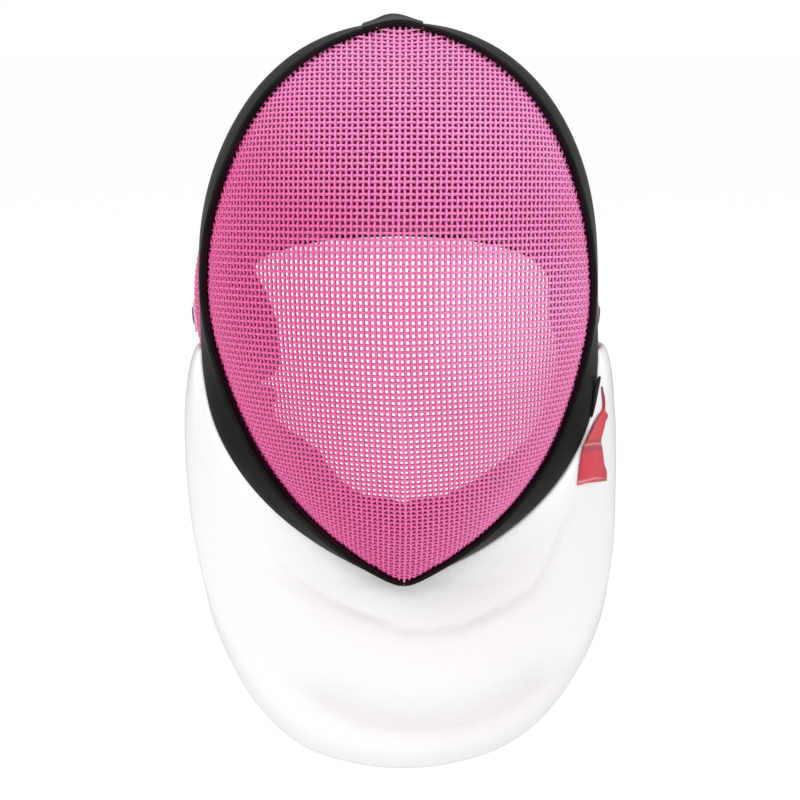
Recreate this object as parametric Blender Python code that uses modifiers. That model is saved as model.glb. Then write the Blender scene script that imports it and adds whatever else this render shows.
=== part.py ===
# Fencing mask: woven wire face, side and crown mesh, black trim, padded bib.
# Metres, +Z up, the face looks along -Y. The origin is where the head's crown rests.
import math

import bmesh
import bpy
import numpy as np
from mathutils import Matrix, Vector

MM = 0.001

# ---- driving dimensions, mm ----
GAP = 0.3                 # play left between neighbouring pieces
MESH_WALL = 2.0           # woven wire, over both wires
TRIM_DEPTH = 18.0         # trim, front edge to back edge
TRIM_WALL = 3.0
TRIM_LIFT = 0.4           # its inside, out from the side mesh
TRIM_ROUND = 0.8
MESH_START = 2.0          # the side mesh begins this far behind the rim
PAD_WALL = 7.9            # head padding
PAD_START = 9.0
PAD_END_SHORT = 5.0
CHIN_START = 7.0
CHIN_END_SHORT = 1.5
BINDING_DEPTH = 7.0
BINDING_WALL = 3.4
BIB_WALL = 4.0            # padded cloth
TAG_WALL = 1.0
TAG_LIFT = 0.65           # its back, out from the bib
STRAP_WALL = 1.6
TAB_LIFT = 0.6
TAB_WALL = 2.7
TAB_LEFT = 0.76           # stations each side of the middle
TAB_RIGHT = 0.46
ANCHOR_RADIUS = 5.0
ANCHOR_WALL = 1.2
ANCHOR_LEAN = 5.3
ANCHOR_AT = (109.4, 8.5, -132.3)
RIDGE_SLOPE = 0.42        # how far each side of the face falls back from the ridge
RIDGE_SHARE = 0.65        # the most of the depth that this slope may take
FACE_K = 0.96             # how nearly the face stands on end at the rim

# ---- the rim: edge of the face mesh, one side, crown to chin ----
# columns: x, y, z, flare (how far the trim's back edge stands out from its front edge)
RIM = (
    (0.0, -60.0, 19.2, -2.2),
    (23.3, -59.3, 12.8, 1.8),
    (45.0, -57.4, 1.7, 3.9),
    (63.1, -54.9, -14.4, 4.5),
    (76.5, -51.8, -34.4, 4.8),
    (86.0, -48.9, -56.7, 4.6),
    (92.4, -46.1, -80.0, 3.2),
    (95.4, -44.0, -104.1, 1.8),
    (94.6, -42.2, -128.4, 2.8),
    (89.4, -41.4, -152.2, 8.2),
    (81.8, -41.2, -175.4, 12.2),
    (71.4, -42.0, -197.5, 12.0),
    (57.5, -43.7, -217.4, 10.0),
    (40.6, -45.6, -234.8, 7.0),
    (21.1, -48.2, -249.3, 3.6),
    (0.0, -51.0, -261.2, -1.6),
)

# ---- the side and crown mesh behind the trim ----
# columns: station along the rim, x, y, z
MIDDLE_1 = (
    (0.0, 0.0, 0.0, 10.2),
    (1.25, 29.5, 0.0, 4.6),
    (2.6, 60.0, 1.0, -12.5),
    (4.1, 83.0, 2.0, -42.0),
    (5.4, 96.0, 3.0, -72.0),
    (7.1, 106.2, 4.0, -111.0),
    (7.9, 106.4, 4.0, -131.0),
    (8.85, 103.0, 3.0, -151.0),
    (10.15, 97.5, -2.0, -184.0),
    (11.6, 78.0, -9.0, -218.0),
    (13.3, 40.5, -18.5, -246.5),
    (15.0, 0.0, -25.0, -260.6),
)
MIDDLE_2 = (
    (0.0, 0.0, 58.0, -15.0),
    (1.25, 31.0, 56.0, -20.0),
    (2.6, 60.0, 51.0, -34.0),
    (4.1, 82.0, 45.0, -58.0),
    (5.4, 95.0, 40.0, -84.0),
    (7.1, 102.5, 36.0, -119.0),
    (7.9, 102.5, 34.0, -135.0),
    (8.85, 100.5, 29.0, -153.0),
    (10.15, 97.0, 12.0, -184.0),
    (11.6, 80.0, -2.0, -219.0),
    (13.3, 41.5, -14.5, -247.0),
    (15.0, 0.0, -21.0, -259.6),
)
REAR = (
    (0.0, 0.0, 88.0, -97.0),
    (1.25, 30.0, 85.0, -98.0),
    (2.6, 55.0, 77.0, -101.0),
    (4.1, 74.0, 67.5, -106.0),
    (5.4, 84.5, 60.5, -114.0),
    (7.1, 91.0, 54.0, -130.0),
    (7.9, 92.5, 50.5, -141.0),
    (8.85, 93.5, 44.0, -155.0),
    (10.15, 94.5, 24.0, -184.0),
    (11.6, 80.0, 5.0, -219.5),
    (13.3, 42.0, -10.5, -247.0),
    (15.0, 0.0, -17.0, -258.4),
)

# ---- the ridge down the middle of the face: z, y ----
RIDGE = (
    (19.2, -60.0), (15.4, -64.0), (12.7, -68.5), (8.2, -75.5), (3.7, -81.8),
    (-5.2, -92.8), (-14.1, -101.8), (-27.5, -112.7), (-40.8, -121.4),
    (-58.5, -131.0), (-76.3, -137.9), (-92.0, -141.8), (-103.6, -142.6),
    (-113.0, -142.1), (-122.5, -141.1), (-132.2, -139.4), (-142.1, -136.7),
    (-152.2, -133.3), (-162.5, -129.0), (-173.0, -124.3), (-183.8, -118.8),
    (-194.8, -112.6), (-206.2, -105.4), (-218.2, -96.0), (-231.0, -84.3),
    (-244.6, -69.8), (-255.4, -57.5), (-261.2, -51.0),
)
FACE_CENTRE_Z = -105.0
FACE_RINGS = (0.0, 0.2, 0.4, 0.57, 0.72, 0.83, 0.91, 0.965, 1.0)

# ---- chin padding: station, wall ----
CHIN_PAD = ((9.7, 8.0), (11.0, 10.0), (12.5, 14.0), (14.0, 19.0), (15.0, 21.0))

# ---- the bib, seen from above as a half ring whose size changes with height ----
# columns: z, half width, y of its middle front, y of its widest point
BIB = (
    (-141.0, 107.0, -64.0, 15.0),
    (-150.0, 111.4, -60.0, 15.0),
    (-158.0, 113.0, -56.5, 15.0),
    (-168.0, 113.6, -52.0, 15.0),
    (-190.0, 113.6, -43.5, 14.0),
    (-210.0, 112.4, -37.5, 12.0),
    (-232.0, 110.6, -34.5, 9.0),
    (-253.0, 108.6, -34.5, 5.0),
    (-264.0, 107.3, -36.5, 3.0),
    (-275.0, 106.0, -40.5, 1.0),
    (-286.0, 104.8, -45.5, -1.0),
    (-300.0, 102.5, -52.0, -3.0),
    (-320.0, 99.5, -60.5, -6.0),
    (-354.0, 95.0, -71.0, -10.0),
)
BIB_EDGE_BACK = 2.9       # its top edge starts this far behind the trim
BIB_TURN = 11.0 / 18.0    # share of its top edge that follows the trim
BIB_BACK = 62.0           # how deep the bib's back quarter is, widest point to a half turn
BIB_TOP_INDEX = 15        # its top edge runs back along the side mesh here
# hem, middle front to the back corner: turn round from the middle in degrees, z
HEM = (
    (0.0, -352.0), (5.5, -351.9), (14.2, -350.5), (20.9, -348.9), (29.1, -345.8),
    (34.3, -342.9), (42.3, -336.7), (48.5, -330.4), (54.5, -323.4), (59.6, -316.6),
    (64.4, -309.7), (69.3, -302.3), (74.2, -293.5), (78.5, -284.0), (84.0, -271.0),
    (91.0, -252.0), (98.0, -231.0), (105.0, -206.0), (111.0, -178.0),
)

# ---- back strap, centre back to the anchor ----
# columns: x, y, z of its top edge, then of its bottom edge
STRAP = (
    (0.0, 92.4, -90.5, 0.0, 92.8, -110.5),
    (31.2, 89.4, -90.5, 31.2, 89.8, -110.5),
    (57.2, 81.0, -90.5, 57.2, 81.4, -110.5),
    (77.2, 70.8, -92.5, 77.4, 71.2, -112.0),
    (88.2, 60.4, -99.0, 88.6, 60.8, -117.5),
    (95.8, 51.6, -106.5, 96.0, 52.0, -124.0),
    (104.9, 34.8, -117.0, 104.2, 34.8, -133.0),
    (108.2, 18.2, -123.0, 107.0, 18.2, -138.5),
    (108.1, 2.0, -125.0, 106.7, 2.0, -140.0),
)

# ---- red tag on the bib ----
# columns: turn round to its left edge and to its right edge in degrees, z
TAG = (
    (65.6, 66.9, -166.0), (65.8, 67.1, -172.5), (65.4, 67.2, -178.0),
    (63.4, 66.9, -182.4), (60.0, 65.6, -187.2), (56.2, 63.9, -193.6),
    (55.0, 64.9, -196.4), (54.9, 66.9, -203.0), (54.5, 69.0, -209.6),
    (54.0, 71.3, -215.6),
)


# ---- curves through tables ----
def through(keys, values, at):
    """Smooth curve through rows of values, read at one place."""
    keys = np.asarray(keys, float)
    values = np.asarray(values, float)
    slope = np.gradient(values, keys, axis=0)
    i = int(np.clip(np.searchsorted(keys, at) - 1, 0, len(keys) - 2))
    h = keys[i + 1] - keys[i]
    t = (at - keys[i]) / h
    a = (2 * t**3 - 3 * t**2 + 1) * values[i]
    b = (t**3 - 2 * t**2 + t) * h * slope[i]
    c = (-2 * t**3 + 3 * t**2) * values[i + 1]
    d = (t**3 - t**2) * h * slope[i + 1]
    return a + b + c + d


RIM_ROWS = np.array(RIM)
STATIONS = np.arange(len(RIM_ROWS), dtype=float)
LAST = STATIONS[-1]


def rim_point(s):
    return through(STATIONS, RIM_ROWS[:, :3], s)


def rim_outward(s):
    """Outward direction in the face's own plane, square to the rim."""
    if s <= 0.0:
        return np.array((0.0, 0.0, 1.0))
    if s >= LAST:
        return np.array((0.0, 0.0, -1.0))
    d = rim_point(min(s + 0.2, LAST)) - rim_point(max(s - 0.2, 0.0))
    n = np.array((-d[2], 0.0, d[0]))
    return n / np.linalg.norm(n)


def guide(rows, s):
    rows = np.array(rows)
    return through(rows[:, 0], rows[:, 1:], s)


def section(s):
    """The five points that one section of the side mesh runs through."""
    flare = through(STATIONS, RIM_ROWS[:, 3], s)
    front = rim_point(s)
    back = math.sqrt(TRIM_DEPTH**2 - flare**2)
    trim_back = front + rim_outward(s) * flare + np.array((0.0, back, 0.0))
    rows = [front, trim_back, guide(MIDDLE_1, s), guide(MIDDLE_2, s), guide(REAR, s)]
    rows = np.array(rows)
    steps = np.linalg.norm(np.diff(rows, axis=0), axis=1)
    return np.concatenate(([0.0], np.cumsum(steps))), rows


def side_length(s):
    return section(s)[0][-1]


def side_point(s, d):
    """Outside of the side mesh: station s along the rim, d behind the rim."""
    at, rows = section(s)
    if d > at[-1]:
        end = through(at, rows, at[-1])
        run = end - through(at, rows, at[-1] - 1.0)
        return end + run / np.linalg.norm(run) * (d - at[-1])
    return through(at, rows, d)


def side_normal(s, d):
    e = 0.15
    along = side_point(min(s + e, LAST), d) - side_point(max(s - e, 0.0), d)
    if s <= 0.0 or s >= LAST:
        along = np.array((1.0 if s <= 0.0 else -1.0, 0.0, 0.0))
    back = side_point(s, d + 1.0) - side_point(s, max(d - 1.0, 0.0))
    n = np.cross(along, back)
    return n / np.linalg.norm(n)


def side_offset(s, d, out):
    n = side_normal(s, d)
    if s <= 0.0 or s >= LAST:
        beside = 0.3 if s <= 0.0 else LAST - 0.3
        out = out / float(n @ side_normal(beside, d))
    return side_point(s, d) + n * out


# Every piece on the ring uses these stations and depths, so that its facets stay parallel.
RING_STATIONS = np.linspace(0.0, LAST, 27)
RING_BACK_STEPS = 7


def ring_depths(s):
    back = np.linspace(TRIM_DEPTH, side_length(s), RING_BACK_STEPS + 1)
    return [0.0, TRIM_DEPTH / 2] + list(back)


def ring_row(s, out, first, end_short=0.0):
    """One section at a distance out from the side mesh's outside."""
    ds = ring_depths(s)
    row = [side_offset(s, d, out) for d in ds]
    start = row[0] + (row[1] - row[0]) * (first / ds[1]) if first < ds[1] else None
    if first > ds[1]:
        row = row[2:]
    else:
        row = ([start] if start is not None else []) + row[1:]
    if end_short:
        step = ds[-1] - ds[-2]
        row[-1] = row[-1] + (row[-2] - row[-1]) * (end_short / step)
    return row


# ---- the face ----
RIM_FINE = np.array([rim_point(s) for s in np.linspace(0.0, LAST, 241)])
RIDGE_ROWS = np.array(RIDGE)


def face_y(x, z):
    """How far forward the outside of the face stands at x, z."""
    w = np.interp(-z, -RIM_FINE[:, 2], RIM_FINE[:, 0])
    y_rim = np.interp(-z, -RIM_FINE[:, 2], RIM_FINE[:, 1])
    y_ridge = through(-RIDGE_ROWS[:, 0], RIDGE_ROWS[:, 1], -z)
    if w < 0.5:
        return y_ridge
    depth = max(y_rim - y_ridge, 0.0)
    slope = min(RIDGE_SLOPE, RIDGE_SHARE * depth / w)
    q = min(abs(x) / w, 1.0)
    bowl = (1 - math.sqrt(1 - (FACE_K * q) ** 2)) / (1 - math.sqrt(1 - FACE_K**2))
    return y_ridge + slope * w * q + (depth - slope * w) * bowl


# ---- the bib ----
BIB_ROWS = np.array(BIB)
HEM_ROWS = np.array(HEM)


def bib_point(turn, z):
    """Middle of the bib's wall, turn in degrees round from the middle front."""
    row = through(-BIB_ROWS[:, 0], BIB_ROWS[:, 1:], -z)
    half, front, wide = row
    a = math.radians(turn)
    reach = wide - front if turn <= 90.0 else BIB_BACK
    return np.array((half * math.sin(a), wide - reach * math.cos(a), z))


def bib_turn(p):
    """The turn and height on the bib nearest to a point."""
    row = through(-BIB_ROWS[:, 0], BIB_ROWS[:, 1:], -p[2])
    half, front, wide = row
    reach = wide - front if p[1] <= wide else BIB_BACK
    return math.degrees(math.atan2(p[0] / half, (wide - p[1]) / reach))


def bib_top(u):
    """Top edge of the bib: up beside the trim, then back along the side mesh."""
    out = GAP + BIB_WALL / 2
    d0 = TRIM_DEPTH + BIB_EDGE_BACK
    s1 = RING_STATIONS[BIB_TOP_INDEX]
    if u <= BIB_TURN:
        return side_offset(LAST + (s1 - LAST) * (u / BIB_TURN), d0, out)
    far = side_length(s1) + 2.0
    d = d0 + (far - d0) * (u - BIB_TURN) / (1 - BIB_TURN)
    return side_offset(s1, d, out)


def bib_sheet(u, v):
    """u from the middle front to the back edge, v from the top edge to the hem."""
    top = bib_top(u)
    t0 = bib_turn(top)
    z0 = top[2]
    h = through(HEM_ROWS[:, 0] / HEM_ROWS[-1, 0], HEM_ROWS, u**0.9)
    turn = t0 + (h[0] - t0) * v
    z = z0 + (h[1] - z0) * v
    rest = top - bib_point(t0, z0)
    p = bib_point(turn, z) + rest * (1 - v) ** 2
    if u <= 0.0:
        p[0] = 0.0
    return p


# ---- mesh helpers ----
def clear_scene():
    for o in list(bpy.data.objects):
        bpy.data.objects.remove(o, do_unlink=True)


def make_material(name, rgb, rough, metal=0.0):
    m = bpy.data.materials.new(name)
    m.use_nodes = True
    b = m.node_tree.nodes["Principled BSDF"]
    b.inputs["Base Color"].default_value = (*rgb, 1.0)
    b.inputs["Roughness"].default_value = rough
    b.inputs["Metallic"].default_value = metal
    m.diffuse_color = (*rgb, 1.0)
    return m


def add_object(name, bm, material):
    me = bpy.data.meshes.new(name)
    bm.to_mesh(me)
    bm.free()
    ob = bpy.data.objects.new(name, me)
    me.materials.append(material)
    COLLECTION.objects.link(ob)
    return ob


def grid(points):
    """Open sheet through rows of points, mm."""
    bm = bmesh.new()
    rows = [[bm.verts.new(Vector(p) * MM) for p in row] for row in points]
    for a, b in zip(rows, rows[1:]):
        for i in range(len(a) - 1):
            bm.faces.new((a[i], b[i], b[i + 1], a[i + 1]))
    return bm


def mirror(ob):
    m = ob.modifiers.new("both sides", "MIRROR")
    m.use_axis = (True, False, False)
    m.use_clip = True
    m.merge_threshold = 0.00005


def solidify(ob, wall, offset, even=True):
    m = ob.modifiers.new("wall", "SOLIDIFY")
    m.thickness = wall * MM
    m.offset = offset
    m.use_even_offset = even
    m.use_quality_normals = True


def bevel(ob, width, segments=2, angle=40.0):
    m = ob.modifiers.new("rounded edges", "BEVEL")
    m.width = width * MM
    m.segments = segments
    m.limit_method = "ANGLE"
    m.angle_limit = math.radians(angle)


def face_out(bm, centre):
    """Turn a sheet's faces away from a point inside it."""
    bmesh.ops.recalc_face_normals(bm, faces=bm.faces)
    c = Vector(centre) * MM
    away = sum((f.calc_center_median() - c).dot(f.normal) for f in bm.faces)
    if away < 0:
        bmesh.ops.reverse_faces(bm, faces=bm.faces)


def on_middle(rows):
    """Put a sheet's first and last rows exactly on the middle plane."""
    for row in (rows[0], rows[-1]):
        for p in row:
            if abs(p[0]) < 0.2:
                p[0] = 0.0
    return rows


clear_scene()
COLLECTION = bpy.data.collections.new("fencing_mask")
bpy.context.scene.collection.children.link(COLLECTION)

PINK = make_material("pink_wire", (0.72, 0.13, 0.40), 0.45, 0.2)
BLACK = make_material("black_trim", (0.02, 0.022, 0.021), 0.5)
DARK = make_material("dark_padding", (0.03, 0.025, 0.03), 0.9)
WHITE = make_material("white_cloth", (0.86, 0.86, 0.88), 0.85)
RED = make_material("red_tag", (0.55, 0.03, 0.06), 0.7)
GREY = make_material("grey_cover", (0.09, 0.09, 0.09), 0.55)
ELASTIC = make_material("pale_elastic", (0.80, 0.62, 0.72), 0.85)
HEAD_CENTRE = (0.0, 10.0, -120.0)

# ---- face mesh: a bowl with a crease down its middle ----
FACE_STATIONS = np.linspace(0.0, LAST, 31)
rows = []
for rho in FACE_RINGS[1:]:
    row = []
    for s in FACE_STATIONS:
        r = rim_point(s)
        x = r[0] * rho
        z = FACE_CENTRE_Z + (r[2] - FACE_CENTRE_Z) * rho
        y = r[1] if rho == 1.0 else face_y(x, z)
        row.append(np.array((0.0 if s in (0.0, LAST) else x, y, z)))
    rows.append(row)
bm = grid(rows)
bm.verts.ensure_lookup_table()
tip = bm.verts.new(Vector((0.0, face_y(0.0, FACE_CENTRE_Z), FACE_CENTRE_Z)) * MM)
bm.verts.ensure_lookup_table()
inner = [bm.verts[i] for i in range(len(FACE_STATIONS))]
for a, b in zip(inner, inner[1:]):
    bm.faces.new((tip, a, b))
face_out(bm, HEAD_CENTRE)
face_mesh = add_object("face_mesh", bm, PINK)
mirror(face_mesh)
solidify(face_mesh, MESH_WALL, -1.0)

# ---- side and crown mesh ----
rows = [ring_row(s, 0.0, MESH_START) for s in RING_STATIONS]
bm = grid(on_middle(rows))
face_out(bm, HEAD_CENTRE)
crown_mesh = add_object("crown_mesh", bm, PINK)
mirror(crown_mesh)
solidify(crown_mesh, MESH_WALL, -1.0)

# ---- trim over the joint of the two ----
rows = [ring_row(s, TRIM_LIFT, 0.0)[:3] for s in RING_STATIONS]
bm = grid(on_middle(rows))
face_out(bm, HEAD_CENTRE)
rim_trim = add_object("rim_trim", bm, BLACK)
mirror(rim_trim)
solidify(rim_trim, TRIM_WALL, 1.0)
bevel(rim_trim, TRIM_ROUND, 1, 75.0)

# ---- binding on the back edge of the crown ----
rows = []
for s in RING_STATIONS[:15]:
    far = side_length(s)
    wall = []
    for d in (far + GAP, far + GAP + BINDING_DEPTH):
        wall.append(side_offset(s, d, (BINDING_WALL - MESH_WALL) / 2))
    rows.append(wall)
bm = grid(on_middle(rows))
face_out(bm, HEAD_CENTRE)
rear_trim = add_object("rear_trim", bm, BLACK)
mirror(rear_trim)
solidify(rear_trim, BINDING_WALL, -1.0)
bevel(rear_trim, TRIM_ROUND, 1)

# ---- head padding inside the crown and temples ----
rows = []
for s in RING_STATIONS[:17]:
    rows.append(ring_row(s, -MESH_WALL - GAP, PAD_START, PAD_END_SHORT))
bm = grid(on_middle(rows))
face_out(bm, HEAD_CENTRE)
crown_pad = add_object("crown_pad", bm, DARK)
mirror(crown_pad)
solidify(crown_pad, PAD_WALL, -1.0)
bevel(crown_pad, 2.0, 1)

# ---- chin padding: inner and outer skins joined round their edges ----
CHIN_ROWS = np.array(CHIN_PAD)
stations = RING_STATIONS[17:]
outer_skin = []
inner_skin = []
for s in stations:
    wall = through(CHIN_ROWS[:, 0], CHIN_ROWS[:, 1], s)
    outer_row = ring_row(s, -MESH_WALL - GAP, CHIN_START, CHIN_END_SHORT)
    deep = ring_row(s, -MESH_WALL - GAP - wall, CHIN_START, CHIN_END_SHORT)
    inner_row = []
    for k, (o, i) in enumerate(zip(outer_row, deep)):
        share = k / (len(deep) - 1.0)
        inner_row.append(i + (o - i) * 0.5 * abs(2 * share - 1) ** 4)
    outer_skin.append(outer_row)
    inner_skin.append(inner_row)
rings = []
for o, i in zip(outer_skin, inner_skin):
    rings.append(o + i[::-1])
bm = bmesh.new()
vs = []
for ring in on_middle(rings):
    vs.append([bm.verts.new(Vector(p) * MM) for p in ring])
count = len(vs[0])
for a, b in zip(vs, vs[1:]):
    for i in range(count):
        j = (i + 1) % count
        bm.faces.new((a[i], b[i], b[j], a[j]))
bm.faces.new(vs[0])
face_out(bm, (60.0, -20.0, -215.0))
bmesh.ops.recalc_face_normals(bm, faces=bm.faces)
chin_pad = add_object("chin_pad", bm, DARK)
mirror(chin_pad)

# ---- bib ----
rows = []
for u in np.linspace(0.0, 1.0, 19):
    rows.append([bib_sheet(u, v) for v in np.linspace(0.0, 1.0, 9)])
bm = grid(rows)
face_out(bm, HEAD_CENTRE)
bib = add_object("bib", bm, WHITE)
mirror(bib)
solidify(bib, BIB_WALL, 0.0, False)
bevel(bib, 1.2, 1, 50.0)

# ---- cover patch over the trim at the crown ----
rows = []
for s in np.linspace(-TAB_LEFT, TAB_RIGHT, 9):
    side = 1.0 if s >= 0 else -1.0
    row = []
    for d in (1.5, 6.5, 11.5, 16.5):
        p = side_offset(abs(s), d, TRIM_LIFT + TRIM_WALL + TAB_LIFT)
        row.append(np.array((side * p[0], p[1], p[2])))
    rows.append(row)
bm = grid(rows)
face_out(bm, (0.0, -50.0, -60.0))
crown_tab = add_object("crown_tab", bm, GREY)
solidify(crown_tab, TAB_WALL, 1.0)
bevel(crown_tab, 0.7, 2)

# ---- loose end of the trim at the right cheek ----
rows = []
for s, d0, d1 in ((9.45, 12.5, 17.5), (9.7, 12.0, 17.8), (10.0, 13.0, 17.8),
                  (10.35, 15.0, 17.8)):
    out = TRIM_LIFT + TRIM_WALL + GAP
    rows.append([side_offset(s, d, out) for d in (d0, d1)])
bm = grid(rows)
face_out(bm, HEAD_CENTRE)
trim_end = add_object("trim_end", bm, BLACK)
solidify(trim_end, 1.8, 1.0)
bevel(trim_end, 0.4, 1)

# ---- red tag on the bib's right side ----
rows = []
for left, right, z in TAG:
    row = []
    for share in (0.0, 1 / 3, 2 / 3, 1.0):
        p = bib_point(left + (right - left) * share, z)
        row.append(p * np.array((1.06, 1.0, 1.0)))
    rows.append(row)
bm = grid(rows)
face_out(bm, HEAD_CENTRE)
side_tag = add_object("side_tag", bm, RED)
wrap = side_tag.modifiers.new("on the bib", "SHRINKWRAP")
wrap.target = bib
wrap.wrap_method = "NEAREST_SURFACEPOINT"
wrap.wrap_mode = "OUTSIDE_SURFACE"
wrap.offset = TAG_LIFT * MM
solidify(side_tag, TAG_WALL, 1.0)

# ---- elastic strap round the back ----
STRAP_ROWS = np.array(STRAP)
steps = np.linalg.norm(np.diff(STRAP_ROWS[:, :3], axis=0), axis=1)
strap_at = np.concatenate(([0.0], np.cumsum(steps)))
rows = []
for k in np.linspace(0.0, strap_at[-1], 19):
    p = through(strap_at, STRAP_ROWS, k)
    rows.append([p[:3], p[3:]])
bm = grid(on_middle(rows))
face_out(bm, HEAD_CENTRE)
back_strap = add_object("back_strap", bm, ELASTIC)
mirror(back_strap)
solidify(back_strap, STRAP_WALL, 0.0)

# ---- strap anchors over the strap's ends ----
for name, side in (("strap_anchor_left", -1.0), ("strap_anchor_right", 1.0)):
    bm = bmesh.new()
    bmesh.ops.create_cone(bm, cap_ends=True, cap_tris=False, segments=16,
                          radius1=ANCHOR_RADIUS * MM, radius2=(ANCHOR_RADIUS - 1.0) * MM,
                          depth=ANCHOR_WALL * MM)
    lean = math.radians(90.0 + ANCHOR_LEAN)
    turn = Matrix.Rotation(side * lean, 4, "Y")
    place = Matrix.Translation(Vector((side * ANCHOR_AT[0], *ANCHOR_AT[1:])) * MM)
    bmesh.ops.transform(bm, matrix=place @ turn, verts=bm.verts)
    add_object(name, bm, GREY)
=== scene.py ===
# %% [markdown]
# # A fencing mask
# The mask's solid parts were modelled, measured and packed beforehand. This file gives
# them their looks: every wire of the mesh, the bound edges, the padding, the quilted bib.
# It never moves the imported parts. It lays finer pieces where they are.

import math

import bpy
import numpy as np
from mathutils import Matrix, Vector


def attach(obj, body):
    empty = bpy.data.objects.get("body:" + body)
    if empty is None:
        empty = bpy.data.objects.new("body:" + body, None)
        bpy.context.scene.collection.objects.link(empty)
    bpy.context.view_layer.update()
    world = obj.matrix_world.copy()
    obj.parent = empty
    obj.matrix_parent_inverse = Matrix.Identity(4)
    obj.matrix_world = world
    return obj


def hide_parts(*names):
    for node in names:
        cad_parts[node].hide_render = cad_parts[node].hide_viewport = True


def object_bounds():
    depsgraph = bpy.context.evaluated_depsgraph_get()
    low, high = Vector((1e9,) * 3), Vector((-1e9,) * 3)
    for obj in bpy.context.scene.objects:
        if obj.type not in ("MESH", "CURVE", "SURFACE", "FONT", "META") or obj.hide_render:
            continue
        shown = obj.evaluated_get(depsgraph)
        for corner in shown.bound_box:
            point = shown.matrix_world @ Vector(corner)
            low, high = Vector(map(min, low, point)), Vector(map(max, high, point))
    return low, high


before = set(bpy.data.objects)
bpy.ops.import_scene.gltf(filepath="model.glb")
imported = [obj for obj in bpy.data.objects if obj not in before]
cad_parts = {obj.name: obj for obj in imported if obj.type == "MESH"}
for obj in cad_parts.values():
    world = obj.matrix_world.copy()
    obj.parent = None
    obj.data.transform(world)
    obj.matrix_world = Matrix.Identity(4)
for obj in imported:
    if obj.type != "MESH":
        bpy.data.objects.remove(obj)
PACKED_BOX = [list(corner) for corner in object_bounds()]
MM = 0.001
print("packed parts:", ", ".join(sorted(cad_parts)))

# %% [markdown]
# ## The camera, the floor and the light
# A product picture of a mask is taken from far away with a long lens, a little above it,
# so that the face keeps its proportions. The light is broad and soft, from above and from
# both sides, and the floor and the air are nearly white.

# %% Camera
SENSOR = 36.0
FOCAL = 117.0
SHOT_DISTANCE = 1300.0
SHOT_HEIGHT = 10.0        # degrees above the horizon
AIM = (0.0, -52.0, -166.28)

tilt = math.radians(SHOT_HEIGHT)
camera = bpy.data.objects.new("camera", bpy.data.cameras.new("camera"))
bpy.context.scene.collection.objects.link(camera)
camera.data.sensor_width = SENSOR
camera.data.lens = FOCAL
back_off = Vector((0.0, -math.cos(tilt), math.sin(tilt))) * SHOT_DISTANCE
camera.location = (Vector(AIM) + back_off) * MM
camera.rotation_euler = (math.radians(90.0 - SHOT_HEIGHT), 0.0, 0.0)
bpy.context.scene.camera = camera
print("camera at", [round(c, 3) for c in camera.location])


# %% Floor and lights
FLOOR_DROP = 0.16         # metres below the bib: the mask hangs as on a head
FLOOR_RADIUS = 12.0       # metres
AIR = (1.0, 1.0, 1.0, 1.0)
AIR_STRENGTH = 1.02
LIGHTS_FACE = (0.0, 0.0, -0.15)


def lamp(name, place, size, watts):
    """A square soft light that faces the mask."""
    data = bpy.data.lights.new(name, "AREA")
    data.size = size
    data.energy = watts
    ob = bpy.data.objects.new(name, data)
    ob.location = place
    way = Vector(LIGHTS_FACE) - Vector(place)
    ob.rotation_euler = way.to_track_quat("-Z", "Y").to_euler()
    bpy.context.scene.collection.objects.link(ob)


bpy.ops.mesh.primitive_circle_add(vertices=96, radius=FLOOR_RADIUS, fill_type="NGON",
                                  location=(0.0, 0.0, PACKED_BOX[0][2] - FLOOR_DROP))
floor = bpy.context.object
floor.name = "floor"

world = bpy.data.worlds.new("air")
world.use_nodes = True
air = world.node_tree.nodes["Background"]
air.inputs["Color"].default_value = AIR
air.inputs["Strength"].default_value = AIR_STRENGTH
bpy.context.scene.world = world
bpy.context.scene.view_settings.view_transform = "Standard"
lamp("key light", (-0.9, -1.5, 1.3), 1.2, 8.2)
lamp("fill light", (1.2, -1.4, 0.5), 1.4, 3.4)
lamp("top light", (0.0, 0.2, 1.8), 1.6, 5.0)
print("floor at z", round(floor.location.z, 3), "and", len(bpy.data.lights), "lights")


# %% [markdown]
# ## Writing shaders as sums
# Blender's materials are graphs of nodes. A graph is hard to read in a script, so one small
# class wraps a node's output, and `1 - mask * 0.5` then adds the Math nodes by itself.

# %% Words for shaders
class Socket:
    """One output of a shader node, ready for sums."""

    def __init__(self, finish, output):
        self.finish = finish
        self.output = output

    def maths(self, operation, other=None, swapped=False):
        """A Math node on this value, or a Vector Math node where it is a vector."""
        pair = [self] if other is None else [other, self] if swapped else [self, other]
        kind = "ShaderNodeMath"
        if self.output.type == "VECTOR":
            kind = "ShaderNodeVectorMath"
            pair = [(v, v, v) if isinstance(v, (int, float)) else v for v in pair]
        return self.finish.node(kind, {"operation": operation}, dict(enumerate(pair)))

    def __add__(self, other):
        return self.maths("ADD", other)

    def __radd__(self, other):
        return self.maths("ADD", other, True)

    def __sub__(self, other):
        return self.maths("SUBTRACT", other)

    def __rsub__(self, other):
        return self.maths("SUBTRACT", other, True)

    def __mul__(self, other):
        return self.maths("MULTIPLY", other)

    def __rmul__(self, other):
        return self.maths("MULTIPLY", other, True)

    def __truediv__(self, other):
        return self.maths("DIVIDE", other)

    def __rtruediv__(self, other):
        return self.maths("DIVIDE", other, True)

    def sine(self):
        return self.maths("SINE")

    def at_most(self, top):
        return self.maths("MINIMUM", top)

    def at_least(self, bottom):
        return self.maths("MAXIMUM", bottom)


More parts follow.
